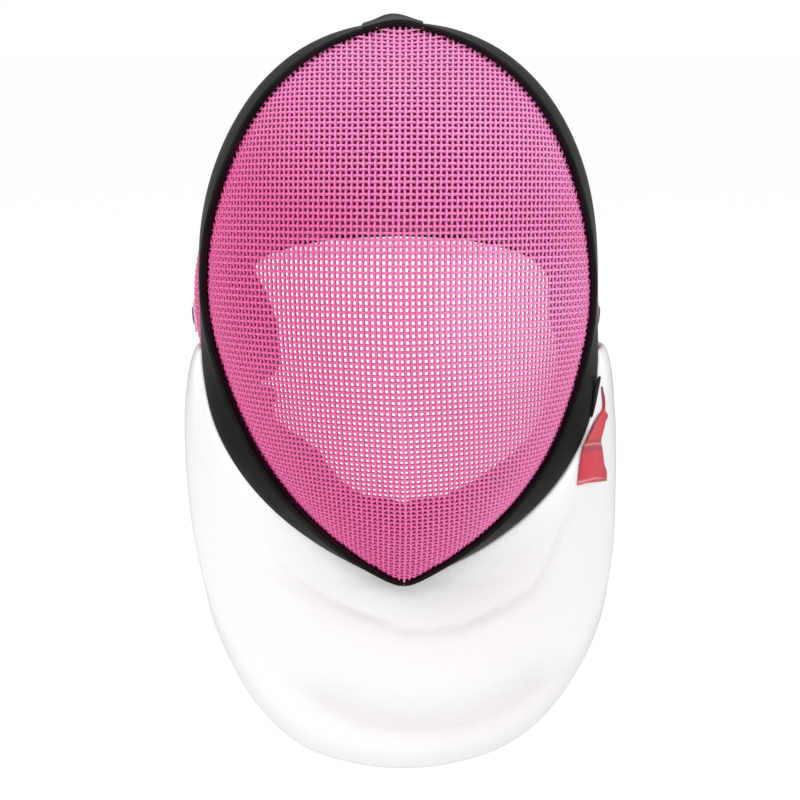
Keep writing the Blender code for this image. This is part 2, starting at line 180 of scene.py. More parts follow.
# %% A finish and its nodes
class Finish:
    """A material: its Principled shader and the nodes that feed it."""

    def __init__(self, name, colour, roughness, **fixed):
        self.material = bpy.data.materials.new(name)
        self.material.use_nodes = True
        self.tree = self.material.node_tree
        self.shader = self.tree.nodes["Principled BSDF"]
        self.set("Base Color", (*colour, 1.0))
        self.set("Roughness", roughness)
        for socket, value in fixed.items():
            self.set(socket.replace("_", " ").title().replace("Ior", "IOR"), value)

    def set(self, socket, value):
        """Give one of the shader's sockets a value, or link it."""
        if isinstance(value, Socket):
            self.tree.links.new(value.output, self.shader.inputs[socket])
        else:
            self.shader.inputs[socket].default_value = value

    def node(self, kind, settings=None, inputs=None, output=0):
        """Any node: its settings first, then the values or links of its sockets."""
        made = self.tree.nodes.new(kind)
        for key, value in (settings or {}).items():
            setattr(made, key, value)
        for key, value in (inputs or {}).items():
            if isinstance(value, Socket):
                self.tree.links.new(value.output, made.inputs[key])
            else:
                made.inputs[key].default_value = value
        return Socket(self, made.outputs[output])

    def place(self, along=None):
        """The object's own coordinates in millimetres, or one axis of them."""
        spot = self.node("ShaderNodeTexCoord", output="Object") * (1.0 / MM)
        if along is None:
            return spot
        return self.node("ShaderNodeSeparateXYZ", inputs={0: spot}, output=along)

    def painted(self, name):
        """A value that was written on the mesh, point by point."""
        return self.node("ShaderNodeAttribute", {"attribute_name": name}, output="Fac")

    def ridges(self, name, step_mm):
        """A wave along a distance in mm that was written on the mesh."""
        return (self.painted(name) * (2 * math.pi / step_mm)).sine()

    def noise(self, per_mm, detail=2.0):
        """Cloudy values about 0.5, with so many clouds to a millimetre."""
        return self.node("ShaderNodeTexNoise", None, {
            "Vector": self.place(), "Scale": per_mm, "Detail": detail})

    def mix(self, first, second, share):
        """From the first colour to the second as share goes from 0 to 1."""
        first, second = [c if isinstance(c, Socket) else (*c, 1.0) for c in (first, second)]
        return self.node("ShaderNodeMix", {"data_type": "RGBA"},
                         {0: share, 6: first, 7: second}, 2)

    def relief(self, height, depth_mm):
        """Raise the surface where height is high, by up to depth_mm."""
        self.set("Normal", self.node("ShaderNodeBump", None, {
            "Height": height, "Distance": depth_mm * MM, "Strength": 1.0}))

    def say(self):
        """Print how much the finish is made of, and hand it on."""
        print(self.material.name, "has", len(self.tree.nodes), "nodes")
        return self


# %% Paint the floor
floor_paint = Finish("pale floor", (0.97, 0.97, 0.97), 0.9).say()
floor.data.materials.append(floor_paint.material)

# %% [markdown]
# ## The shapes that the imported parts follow
# The mask is drawn by a few tables: the rim that the face mesh ends on, the sections of the
# side mesh behind it, the ridge down the middle of the face, and the bib. They are the same
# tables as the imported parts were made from, in millimetres, so that every wire and seam
# below lies on the solid that it stands for.

# %% Walls and the table of the rim
MESH_WALL = 2.0
TRIM_DEPTH = 18.0         # from the rim backwards
TRIM_WALL = 3.0
TRIM_LIFT = 0.4           # its underside, out from the side mesh
RIDGE_SLOPE = 0.42        # how steeply the face falls back beside the ridge, at most
RIDGE_SHARE = 0.65        # and the largest share of the face's depth that this fall takes
FACE_K = 0.96             # roundness of the bowl: at 1 it would stand upright at the rim

# the rim, crown to chin: x, y, z, flare of the trim
RIM = np.array((
    (0.0, -60.0, 19.2, -2.2),
    (23.3, -59.3, 12.8, 1.8),
    (45.0, -57.4, 1.7, 3.9),
    (63.1, -54.9, -14.4, 4.5),
    (76.5, -51.8, -34.4, 4.8),
    (86.0, -48.9, -56.7, 4.6),
    (92.4, -46.1, -80.0, 3.2),
    (95.4, -44.0, -104.1, 1.8),
    (94.6, -42.2, -128.4, 2.8),
    (89.4, -41.4, -152.2, 8.2),
    (81.8, -41.2, -175.4, 12.2),
    (71.4, -42.0, -197.5, 12.0),
    (57.5, -43.7, -217.4, 10.0),
    (40.6, -45.6, -234.8, 7.0),
    (21.1, -48.2, -249.3, 3.6),
    (0.0, -51.0, -261.2, -1.6),
))
STATIONS = np.arange(len(RIM), dtype=float)
LAST = STATIONS[-1]
print("rim:", len(RIM), "stations,", round(2 * RIM[:, 0].max(), 1), "mm wide and",
      round(RIM[0, 2] - RIM[-1, 2], 1), "mm tall")

# %% Tables of the side mesh and of the ridge
# three lines round the side mesh: station along the rim, x, y, z
MIDDLE_1 = np.array((
    (0.0, 0.0, 0.0, 10.2),
    (1.25, 29.5, 0.0, 4.6),
    (2.6, 60.0, 1.0, -12.5),
    (4.1, 83.0, 2.0, -42.0),
    (5.4, 96.0, 3.0, -72.0),
    (7.1, 106.2, 4.0, -111.0),
    (7.9, 106.4, 4.0, -131.0),
    (8.85, 103.0, 3.0, -151.0),
    (10.15, 97.5, -2.0, -184.0),
    (11.6, 78.0, -9.0, -218.0),
    (13.3, 40.5, -18.5, -246.5),
    (15.0, 0.0, -25.0, -260.6),
))
MIDDLE_2 = np.array((
    (0.0, 0.0, 58.0, -15.0),
    (1.25, 31.0, 56.0, -20.0),
    (2.6, 60.0, 51.0, -34.0),
    (4.1, 82.0, 45.0, -58.0),
    (5.4, 95.0, 40.0, -84.0),
    (7.1, 102.5, 36.0, -119.0),
    (7.9, 102.5, 34.0, -135.0),
    (8.85, 100.5, 29.0, -153.0),
    (10.15, 97.0, 12.0, -184.0),
    (11.6, 80.0, -2.0, -219.0),
    (13.3, 41.5, -14.5, -247.0),
    (15.0, 0.0, -21.0, -259.6),
))
REAR = np.array((
    (0.0, 0.0, 88.0, -97.0),
    (1.25, 30.0, 85.0, -98.0),
    (2.6, 55.0, 77.0, -101.0),
    (4.1, 74.0, 67.5, -106.0),
    (5.4, 84.5, 60.5, -114.0),
    (7.1, 91.0, 54.0, -130.0),
    (7.9, 92.5, 50.5, -141.0),
    (8.85, 93.5, 44.0, -155.0),
    (10.15, 94.5, 24.0, -184.0),
    (11.6, 80.0, 5.0, -219.5),
    (13.3, 42.0, -10.5, -247.0),
    (15.0, 0.0, -17.0, -258.4),
))
# the ridge, crown to chin: z, y
RIDGE = np.array((
    (19.2, -60.0), (15.4, -64.0), (12.7, -68.5), (8.2, -75.5), (3.7, -81.8),
    (-5.2, -92.8), (-14.1, -101.8), (-27.5, -112.7), (-40.8, -121.4),
    (-58.5, -131.0), (-76.3, -137.9), (-92.0, -141.8), (-103.6, -142.6),
    (-113.0, -142.1), (-122.5, -141.1), (-132.2, -139.4), (-142.1, -136.7),
    (-152.2, -133.3), (-162.5, -129.0), (-173.0, -124.3), (-183.8, -118.8),
    (-194.8, -112.6), (-206.2, -105.4), (-218.2, -96.0), (-231.0, -84.3),
    (-244.6, -69.8), (-255.4, -57.5), (-261.2, -51.0),
))
print("side mesh: 3 lines of", len(REAR), "points; ridge:", len(RIDGE), "points")


# %% A smooth curve through a table, and other small sums
def through(keys, values, at):
    """Smooth curve through rows of values, read at one place or at many."""
    slope = np.gradient(values, keys, axis=0)
    at = np.asarray(at, float)
    i = np.clip(np.searchsorted(keys, at) - 1, 0, len(keys) - 2)
    h = keys[i + 1] - keys[i]
    t = (at - keys[i]) / h
    if values.ndim > 1:
        t, h = t[..., None], h[..., None]
    a = (2 * t**3 - 3 * t**2 + 1) * values[i]
    b = (t**3 - 2 * t**2 + t) * h * slope[i]
    c = (-2 * t**3 + 3 * t**2) * values[i + 1]
    d = (t**3 - t**2) * h * slope[i + 1]
    return a + b + c + d


def bump(distance, width):
    """1 at no distance, fading on both sides over the width."""
    return np.exp(-(distance / width) ** 2)


def rise(value, start, end):
    """0 at the start, going evenly to 1 at the end, and level beyond both."""
    return np.clip((value - start) / (end - start), 0.0, 1.0)


def unit(v):
    """Rows of vectors, each one long."""
    return v / np.maximum(np.linalg.norm(v, axis=-1, keepdims=True), 1e-9)


def run_along(line):
    """How far along a line of points each of them is."""
    steps = np.linalg.norm(np.diff(line, axis=0), axis=1)
    return np.concatenate(([0.0], np.cumsum(steps)))


RIM_FINE = through(STATIONS, RIM[:, :3], np.linspace(0.0, LAST, 241))
print("the rim is", round(2 * run_along(RIM_FINE)[-1]), "mm round")


# %% The face, as a height over x and z
def rim_width(z):
    """Half width of the face at a height, 0 above the crown and below the chin."""
    return np.interp(-z, -RIM_FINE[:, 2], RIM_FINE[:, 0], left=0.0, right=0.0)


def face_y(x, z):
    """How far forward the outside of the face stands at x, z."""
    w = np.maximum(rim_width(z), 0.5)
    y_rim = np.interp(-z, -RIM_FINE[:, 2], RIM_FINE[:, 1])
    y_ridge = through(-RIDGE[:, 0], RIDGE[:, 1], np.clip(-z, -RIDGE[0, 0], -RIDGE[-1, 0]))
    depth = np.maximum(y_rim - y_ridge, 0.0)
    slope = np.minimum(RIDGE_SLOPE, RIDGE_SHARE * depth / w)
    q = np.minimum(np.abs(x) / w, 1.0)
    bowl = (1 - np.sqrt(1 - (FACE_K * q) ** 2)) / (1 - math.sqrt(1 - FACE_K**2))
    return y_ridge + slope * w * q + (depth - slope * w) * bowl


def on_face(xz):
    """Points x, z lifted onto the face."""
    return np.stack([xz[..., 0], face_y(xz[..., 0], xz[..., 1]), xz[..., 1]], -1)


def face_normal(xz):
    """Outward from the face at points x, z."""
    e = 0.4
    across = on_face(xz + (e, 0.0)) - on_face(xz - (e, 0.0))
    up = on_face(xz + (0.0, e)) - on_face(xz - (0.0, e))
    return unit(np.cross(across, up))


print("the face stands", round(float(-face_y(0.0, -104.0)), 1), "mm forward of the origin")


# %% One section of the side mesh
def rim_outward(s):
    """Outward in the face's own plane, square to the rim."""
    if s <= 0.0 or s >= LAST:
        return np.array((0.0, 0.0, 1.0 if s <= 0.0 else -1.0))
    ends = np.array((max(s - 0.2, 0.0), min(s + 0.2, LAST)))
    first, last = through(STATIONS, RIM[:, :3], ends)
    d = last - first
    return unit(np.array((-d[2], 0.0, d[0])))


def section(s):
    """Lengths and points of one section of the side mesh, rim to rear edge."""
    flare = through(STATIONS, RIM[:, 3], s)
    front = through(STATIONS, RIM[:, :3], s)
    back = math.sqrt(TRIM_DEPTH**2 - flare**2)
    rows = [front, front + rim_outward(s) * flare + np.array((0.0, back, 0.0))]
    for line in (MIDDLE_1, MIDDLE_2, REAR):
        rows.append(through(line[:, 0], line[:, 1:], s))
    rows = np.array(rows)
    return run_along(rows), rows


print("section over the crown:", round(section(0.0)[0][-1]), "mm long")

# %% The side mesh as a fine chart of points and of the way outward
CHART_STEP = 1.5          # mm from one depth of the chart to the next
CHART_STATIONS = np.linspace(0.0, LAST, 301)
CHART_DEPTHS = np.arange(0.0, 216.0, CHART_STEP)
LENGTHS = np.zeros(len(CHART_STATIONS))
CHART = np.zeros((len(CHART_STATIONS), len(CHART_DEPTHS), 3))
for i, s in enumerate(CHART_STATIONS):
    at, rows = section(s)
    LENGTHS[i] = at[-1]
    CHART[i] = through(at, rows, np.minimum(CHART_DEPTHS, at[-1]))
    end, before = through(at, rows, np.array((at[-1], at[-1] - 1.0)))
    past = np.maximum(CHART_DEPTHS - at[-1], 0.0)
    CHART[i] += unit(end - before) * past[:, None]
CHART[0, :, 0] = 0.0
CHART[-1, :, 0] = 0.0
mirrored = CHART * np.array((-1.0, 1.0, 1.0))
wide = np.concatenate([mirrored[1:2], CHART, mirrored[-2:-1]])
CHART_NORMALS = unit(np.cross(wide[2:] - wide[:-2], np.gradient(CHART, axis=1)))
for end, beside in ((0, 6), (-1, -7)):       # mitred where the two sides meet
    meet = (CHART_NORMALS[end] * CHART_NORMALS[beside]).sum(-1, keepdims=True)
    CHART_NORMALS[end] = CHART_NORMALS[end] / meet


def read_chart(chart, s, d):
    """The chart at stations s and depths d, both arrays."""
    a = np.clip(np.asarray(s, float) / LAST, 0, 1) * (len(CHART_STATIONS) - 1)
    b = np.clip(np.asarray(d, float) / CHART_STEP, 0, len(CHART_DEPTHS) - 1.001)
    a, b = np.broadcast_arrays(a, b)
    i, j = np.minimum(a.astype(int), len(CHART_STATIONS) - 2), b.astype(int)
    u, v = (a - i)[..., None], (b - j)[..., None]
    near = chart[i, j] * (1 - v) + chart[i, j + 1] * v
    far = chart[i + 1, j] * (1 - v) + chart[i + 1, j + 1] * v
    return near * (1 - u) + far * u


print("side mesh:", round(LENGTHS.min()), "to", round(LENGTHS.max()), "mm front to back")


# %% [markdown]
# A mask that has been worn isn't quite even. Its parts are modelled even, and two small
# shifts put the pieces that are drawn here where the real ones stand.

# %% Shifts off the middle plane, and any point of the side mesh
# each a shift in mm to the wearer's left, the z of its middle, and how far it reaches
SIDE_SHIFTS = ((-4.4, -120.0, 46.0),)
FACE_SHIFTS = ((2.8, -225.0, 65.0), (-0.8, -95.0, 50.0))


def shifted(p, shifts, share):
    """Points moved sideways by a share of the given shifts."""
    move = sum(most * bump(p[..., 2] - middle, reach) for most, middle, reach in shifts)
    return p + (move * share)[..., None] * np.array((1.0, 0.0, 0.0))


def on_left_side(p):
    """1 at the side on the wearer's left, fading forwards and towards the middle."""
    return rise(p[..., 1], -26.0, -4.0) * rise(p[..., 0], 0.0, 60.0)


def askew(p):
    """The real side mesh stands a little less proud on the wearer's left."""
    return shifted(p, SIDE_SHIFTS, on_left_side(p))


def lean(p):
    """The real mask is also a little off plumb: its chin stands to one side."""
    return shifted(p, FACE_SHIFTS, rise(-p[..., 1], 0.0, 45.0))


def side(s, d, out=0.0):
    """Outside of the side mesh at station s, d behind the rim, moved out by out.
    A negative station is the mirrored side."""
    s = np.asarray(s, float)
    out = np.asarray(out, float)
    p = read_chart(CHART, np.abs(s), d)
    p = p + read_chart(CHART_NORMALS, np.abs(s), d) * out[..., None]
    p[..., 0] = np.maximum(p[..., 0], 0.0) * np.where(s < 0, -1.0, 1.0)
    return askew(p)


def side_length(s):
    """How far it is from the rim to the rear edge at station s."""
    return np.interp(np.abs(s), CHART_STATIONS, LENGTHS)


print("the chin leans", round(float(lean(RIM[-1:, :3])[0, 0]), 1), "mm to one side")

# %% [markdown]
# ## Making pieces
# Most pieces here are drawn as rows of points in millimetres. One helper turns rows into a
# mesh, one sweeps a closed outline along a line, and one draws many wires at once. Each
# new piece rides on the mask's one body and hides the imported part that it stands for.

# %% Helpers that make pieces
def add_piece(name, points, faces, finish, slot, replaces):
    """A smooth mesh object from points in millimetres."""
    mesh = bpy.data.meshes.new(name)
    mesh.from_pydata((np.asarray(points, float) * MM).tolist(), [], faces)
    mesh.materials.append(finish.material)
    mesh.shade_smooth()
    ob = bpy.data.objects.new(name, mesh)
    bpy.context.scene.collection.objects.link(ob)
    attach(ob, "root")
    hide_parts(*replaces)
    print(name, "has", len(mesh.polygons), "faces")
    return ob


def tube_faces(rows, columns, start=0):
    """Faces between rows of points, where each row is a closed outline."""
    i, j = np.mgrid[0:rows - 1, 0:columns]
    k = (j + 1) % columns
    faces = np.stack([i * columns + j, (i + 1) * columns + j,
                      (i + 1) * columns + k, i * columns + k], -1)
    return (faces.reshape(-1, 4) + start).tolist()


def write_values(ob, name, values):
    """Write a value on each point of a mesh, for its material to read."""
    layer = ob.data.attributes.new(name, "FLOAT", "POINT")
    layer.data.foreach_set("value", np.asarray(values, np.float32).ravel())


# %% Helpers for wires and for swept pieces
def wires(lines, normals, swings, radius, sides):
    """Points and faces of many wires, each a row of centres with the way outward there, and
    the painted light on them: a value that is 1 on the outward face of a crown, where a wire
    passes over another, less on its sides and in the valleys, and 0 on its underside."""
    points, faces, lit_crowns, start = [], [], [], 0
    turn = np.arange(sides) * 2 * math.pi / sides
    for line, normal, swing in zip(lines, normals, swings):
        lit_crowns.append(((1 + np.cos(turn)) / 2 * (0.72 + 0.28 * swing[:, None])).ravel())
        along = unit(np.gradient(line, axis=0))
        beside = unit(np.cross(along, normal))
        out = np.cross(beside, along)
        ring = (line[:, None] + radius * (np.cos(turn)[:, None] * out[:, None]
                                          + np.sin(turn)[:, None] * beside[:, None]))
        points.append(ring.reshape(-1, 3))
        faces += tube_faces(len(line), sides, start)
        faces.append([start + k for k in range(sides)])
        end = start + (len(line) - 1) * sides
        faces.append([end + k for k in reversed(range(sides))])
        start += len(line) * sides
    return np.concatenate(points), faces, np.concatenate(lit_crowns)


def sweep(outline, closed_path=False):
    """Faces of a tube whose outlines are rows of points, with its ends capped."""
    rows, columns = outline.shape[:2]
    faces = tube_faces(rows, columns)
    if closed_path:
        joins = [[(rows - 1) * columns + j, j, (j + 1) % columns,
                  (rows - 1) * columns + (j + 1) % columns] for j in range(columns)]
        return outline.reshape(-1, 3), faces + joins
    faces.append(list(range(columns)))
    faces.append([(rows - 1) * columns + j for j in reversed(range(columns))])
    return outline.reshape(-1, 3), faces


# %% [markdown]
# ## The pink wire
# A mask's mesh is steel wire, woven, pressed over a form and then dipped in glossy paint.
# Each wire is painted pale on the outward face of its crowns and deep on its sides and where
# it passes under another: painted light and shade. Over the mask the tone goes in random
# clouds, and it is painted from a deep pink low on the wearer's right to a paler one at the
# crown and the wearer's left, with a painted pale spot beside the left eye: painted light.

# %% Finish of the painted wire
# painted shade: the colour of the wires' sides and undersides
WIRE_SHADED_SIDE = (0.56, 0.032, 0.20)
WIRE_DEEP_SHADED = (0.77, 0.092, 0.340)
WIRE_PALE_LIT = (0.90, 0.30, 0.64)
# painted light: a paler spot on the wire beside the left eye
PAINTED_LIGHT_SPOT = (52.0, -115.0, 45.0)      # x and z of its middle, and its radius
# painted light: how pale the paint is drawn, more per mm to the wearer's left, more per mm
# upwards, at the origin
PAINTED_LIGHT_ABOVE = (0.0055, 0.0115, 1.115)
PAINTED_LIGHT_BELOW = (0.0050, 0.0010, 0.34)


def painted_wire():
    """Glossy paint in random clouds, with painted light: paler upwards, to the wearer's left
    and at a spot by the left eye, and deep on the wires' sides and undersides.
    """
    finish = Finish("painted wire", WIRE_DEEP_SHADED, 0.42, coat_weight=0.6, coat_roughness=0.18)
    clouds = finish.noise(0.02, 3.0)
    grit = finish.noise(0.9, 2.0)
    x, z = finish.place(0), finish.place(2)
    # painted light: the tone is drawn paler upwards and towards the wearer's left, deeper low
    # down
    upper, lower = [x * left + z * up + origin for left, up, origin in
                    (PAINTED_LIGHT_ABOVE, PAINTED_LIGHT_BELOW)]
    share = upper.at_least(lower)
    # painted light: the pale spot beside the left eye
    off_x, off_z = x - PAINTED_LIGHT_SPOT[0], z - PAINTED_LIGHT_SPOT[1]
    far = (off_x * off_x + off_z * off_z) / PAINTED_LIGHT_SPOT[2] ** 2
    share = share + (1 - far).at_least(0.0) * 0.5 + clouds * 0.4 + grit * 0.2 - 0.3
    tone = finish.mix(WIRE_DEEP_SHADED, WIRE_PALE_LIT, share.at_least(0.0).at_most(1.0))
    # painted light: the outward face of each wire and its crowns take the tone, its sides and
    # underside the shaded colour
    crown = (finish.painted("crown_light_share") * 1.1).at_most(1.0)
    finish.set("Base Color", finish.mix(WIRE_SHADED_SIDE, tone, crown))
    finish.set("Roughness", 0.36 + grit * 0.2)
    finish.relief(finish.noise(1.6, 1.0), 0.05)
    return finish.say()


pink = painted_wire()

# %% [markdown]
# ## Laying the woven mesh on the face
# Woven wire can't stretch. When it is pressed over a form its square cells only lean into
# diamonds, and every side of a cell keeps its length. So the mesh is found cell by cell:
# one wire runs down the ridge, one runs across at eye level, and every next crossing is the
# point of the face that is one pitch away from the two crossings before it. All cells on a
# diagonal are independent, so a whole diagonal is solved at once by Newton's method.

# %% The first two wires
PITCH = 3.15
EYE_LEVEL = -76.0         # z of the wire across at the ridge
EYE_DIP = math.tan(math.radians(5.5))   # how that wire's plane falls towards the back
WIRE_RADIUS = 0.72
WIRE_CRIMP = 0.42         # how far a wire's middle swings to each side of the mesh


def step_along(place, count):
    """Points one pitch apart on a line over the face that place(t) draws."""
    t, found = 0.0, [place(0.0)]
    for _ in range(count):
        low, high = t, t + PITCH
        here = on_face(found[-1])
        for _ in range(22):
            middle = (low + high) / 2
            if np.linalg.norm(on_face(place(middle)) - here) < PITCH:
                low = middle
            else:
                high = middle
        t = low
        found.append(place(t))
    return np.array(found)


def eye_wire(x):
    """The wire across at eye level, in a plane that dips backwards."""
    z = EYE_LEVEL
    front = face_y(0.0, EYE_LEVEL)
    for _ in range(20):
        z = (z + EYE_LEVEL - EYE_DIP * (face_y(x, z) - front)) / 2
    return np.array((x, z))


print("the wire at eye level:", np.round(step_along(eye_wire, 3)[:, 0], 2), "mm from the ridge")

# %% Weave the face from crossing to crossing
NET_ACROSS = 46           # crossings to each side of the ridge, at most
NET_UP = 58               # crossings above eye level, at most
NET_DOWN = 82
NET_REACH = 1.12          # the net is followed this far past the rim, as a share of its width
FOLDED_CELL = 0.3         # a cell whose far corners come this near, in mm, is folded
LONGEST_MOVE = 1.5        # mm that one step of the search may go


def weave_quarter(up, across, along):
    """Crossings x, z of a quarter of the face; up is 1 above eye level and -1 below."""
    net = np.full((across + 1, along + 1, 2), np.nan)
    net[0] = step_along(lambda t: np.array((0.0, EYE_LEVEL + up * t)), along)
    net[:, 0] = step_along(eye_wire, across)
    for diagonal in range(2, across + along + 1):
        i = np.arange(max(1, diagonal - along), min(across, diagonal - 1) + 1)
        j = diagonal - i
        a, b, c = net[i - 1, j], net[i, j - 1], net[i - 1, j - 1]
        known = np.isfinite(a + b + c).all(-1)
        i, j, a, b, c = i[known], j[known], a[known], b[known], c[known]
        if not len(i):
            continue
        p = next_crossings(a, b, c)
        outside = np.abs(p[:, 0]) > NET_REACH * rim_width(p[:, 1])
        folded = np.linalg.norm(p - c, axis=-1) < FOLDED_CELL
        p[outside | folded] = np.nan
        net[i, j] = p
    return net


def next_crossings(a, b, c):
    """The points one pitch from both a and b, on the far side of c."""
    first, second = on_face(a), on_face(b)
    p = a + b - c
    e = 1e-4
    for _ in range(10):
        here = on_face(p)
        miss = np.stack([((here - q) ** 2).sum(-1) - PITCH**2 for q in (first, second)], -1)
        slopes = [(on_face(p + d) - here) / e for d in ((e, 0.0), (0.0, e))]
        jacobian = np.stack([np.stack([2 * ((here - q) * s).sum(-1) for s in slopes], -1)
                             for q in (first, second)], -2)
        flat = np.abs(np.linalg.det(jacobian)) < 1e-6
        jacobian[flat] = np.eye(2)
        miss[flat] = 0.0
        move = np.linalg.solve(jacobian, miss[..., None])[..., 0]
        length = np.linalg.norm(move, axis=-1, keepdims=True)
        p = p - move * np.minimum(1.0, LONGEST_MOVE / np.maximum(length, 1e-9))
    return p


above_eyes = weave_quarter(1, NET_ACROSS, NET_UP)
below_eyes = weave_quarter(-1, NET_ACROSS, NET_DOWN)
print("crossings:", int(np.isfinite(above_eyes[..., 0]).sum()), "above eye level,",
      int(np.isfinite(below_eyes[..., 0]).sum()), "below, on one side")

# %% [markdown]
# A wire passes over one neighbour and under the next. Its middle swings outward and
# inward by turns, with one more point half way between, and it is cut off just beyond the
# rim, where the trim's edge covers its end. Where the net has no crossing beyond the rim,
# the wire's last step is carried on.

# %% Cut the wires at the rim
RIM_REACH = 0.006         # the wires end this share beyond the rim, under the trim,
CROWN_REACH = 0.005       # and at the crown by this much more
FACE_MIDDLE = np.array((0.0, -121.0))
SHORTEST_STUB = 0.08      # a last step that is a smaller share of the pitch is left out


def is_inside(xz):
    """Whether points x, z lie inside the cut. The vinyl can't turn the corner at the crown
    sharply, so the middle wires end lower there."""
    at_crown = rise(xz[..., 1:], -45.0, -5.0)
    reach = 1 + RIM_REACH + CROWN_REACH * at_crown * (1 - 2.0 * bump(xz[..., :1], 3.0))
    spot = FACE_MIDDLE + (xz - FACE_MIDDLE) / reach
    width = rim_width(spot[..., 1])
    return (np.abs(spot[..., 0]) < width) & (width > 0.8)


def cut_at_rim(xz, sign):
    """The part of a wire inside the rim, with its ends exactly on the cut."""
    inside = np.isfinite(xz).all(-1) & is_inside(xz)
    keep = np.flatnonzero(inside)
    if len(keep) < 2:
        return None
    first, last = keep[0], keep[-1]
    points, signs = [xz[first:last + 1]], [sign[first:last + 1]]
    for k, beyond, at_start in ((first, first - 1, True), (last, last + 1, False)):
        step, low, high = xz[k] - xz[2 * k - beyond], 0.0, 2.5
        if 0 <= beyond < len(xz) and np.isfinite(xz[beyond]).all():
            step, high = xz[beyond] - xz[k], 1.0
        if np.isfinite(step).all():
            for _ in range(16):
                middle = (low + high) / 2
                if is_inside(xz[k] + step * middle):
                    low = middle
                else:
                    high = middle
            if low > SHORTEST_STUB:
                end = [xz[k] + step * low]
                points.insert(0, end) if at_start else points.append(end)
                swing = [sign[k] * math.cos(math.pi * low)]
                signs.insert(0, swing) if at_start else signs.append(swing)
    return np.concatenate(points), np.concatenate(signs)


# %% Draw the face mesh
def with_middles(rows):
    """Rows with one more row half way between each two."""
    out = np.zeros((2 * len(rows) - 1, *rows.shape[1:]))
    out[::2] = rows
    out[1::2] = (rows[1:] + rows[:-1]) / 2
    return out


def face_wires(paths):
    """Centre lines, normals and swings of wires given as crossings and their swing."""
    lines, normals, swings = [], [], []
    for xz, sign in paths:
        cut = cut_at_rim(xz, sign)
        if cut is None:
            continue
        xz, swing = with_middles(cut[0]), with_middles(cut[1])
        n = face_normal(xz)
        middle = on_face(xz) - n * (MESH_WALL / 2)
        lines.append(lean(middle + n * (WIRE_CRIMP * swing)[:, None]))
        normals.append(n)
        swings.append(swing)
    return lines, normals, swings


FLIP = np.array((-1.0, 1.0))
uprights, crosses = [], []
for i in range(above_eyes.shape[0]):
    path = np.concatenate([above_eyes[i, :0:-1], below_eyes[i]])
    level = np.concatenate([np.arange(above_eyes.shape[1] - 1, 0, -1),
                            -np.arange(below_eyes.shape[1])])
    swing = 1.0 - 2.0 * ((i + level) % 2)
    uprights.append((path, swing))
    if i:
        uprights.append((path * FLIP, swing))
for net, way in ((above_eyes, 1), (below_eyes, -1)):
    for j in range(0 if way > 0 else 1, net.shape[1]):
        half = net[:, j]
        path = np.concatenate([half[:0:-1] * FLIP, half])
        number = np.concatenate([np.arange(len(half) - 1, 0, -1), np.arange(len(half))])
        crosses.append((path, 2.0 * ((number + j) % 2) - 1.0))

for name, paths in (("face_wires_upright", uprights), ("face_wires_across", crosses)):
    points, faces, lit_crowns = wires(*face_wires(paths), WIRE_RADIUS, 6)
    woven = add_piece(name, points, faces, pink, "pink_wire", ["face_mesh"])
    write_values(woven, "crown_light_share", lit_crowns)

# %% [markdown]
# ## The mesh over the crown and sides
# Behind the trim the same wire covers the crown and sides. There the cells hardly lean, so
# hoops are drawn at even depths behind the rim, and runs go from the rim to the rear edge,
# where one last wire joins their ends.

# %% Wires of the side mesh
MESH_START = 2.0          # the wires begin this far behind the rim
MESH_MARGIN = 0.8         # and end this far before the rear edge
EDGE_WIRE_IN = 1.0        # the last hoop runs this far before the rear edge
RUN_MEASURE = 50.0        # depth at which the runs are one pitch apart
INSIDE = -9.0             # a height well inside the mesh, to tell the way outward


def run_stations():
    """Stations of the runs on one side, the middle one first."""
    length = run_along(read_chart(CHART, CHART_STATIONS, RUN_MEASURE))
    count = int(round(length[-1] / PITCH))
    return np.interp(np.linspace(0.0, length[-1], count + 1), length, CHART_STATIONS)


def side_wire(s, d, swing, crimp=WIRE_CRIMP):
    """A wire at stations s and depths d: its centre line, the way outward, its swing."""
    line = side(s, d, crimp * swing - MESH_WALL / 2)
    return lean(line), line - side(s, d, INSIDE), swing


RUNS = run_stations()
print("runs:", len(RUNS), "from crown to chin, the first and last on the middle plane")

# %% Draw the side mesh
runs, hoops = [], []
for k, s in enumerate(RUNS):
    depths = np.arange(MESH_START, side_length(s) - MESH_MARGIN, PITCH / 2)
    swing = np.cos(np.arange(len(depths)) * math.pi / 2) * (1 - 2 * (k % 2))
    for way in ((1.0,) if k in (0, len(RUNS) - 1) else (1.0, -1.0)):
        runs.append(side_wire(way * s, depths, swing))
both_ways = np.concatenate([-RUNS[:0:-1], RUNS])
fine = with_middles(both_ways[:, None])[:, 0]
for m, d in enumerate(np.arange(MESH_START, LENGTHS.max() - MESH_MARGIN, PITCH)):
    covered = np.flatnonzero(d < side_length(fine) - MESH_MARGIN)
    if len(covered) < 4:
        continue
    count = np.abs((covered - len(fine) // 2) / 2)
    swing = -np.cos(count * math.pi) * (1 - 2 * (m % 2))
    hoops.append(side_wire(fine[covered], d, swing))
hoops.append(side_wire(fine, side_length(fine) - EDGE_WIRE_IN, np.ones(len(fine)), 0.0))
for name, found in (("side_wires_back", runs), ("side_wires_round", hoops)):
    points, faces, lit_crowns = wires(*zip(*found), WIRE_RADIUS, 5)
    woven = add_piece(name, points, faces, pink, "pink_wire", ["crown_mesh"])
    write_values(woven, "crown_light_share", lit_crowns)

# %% [markdown]
# ## The black trim
# A band of black vinyl is folded over the joint of the two meshes. It is swept round the
# whole rim as one closed outline with rounded corners and a slight crown, and two thin lips
# of it hold the ends of the wires: a bead before them and a flap behind. Where the two
# sides meet, at the crown and the chin, real vinyl can't make a sharp corner, so the
# finished rows are averaged with their neighbours a few times.

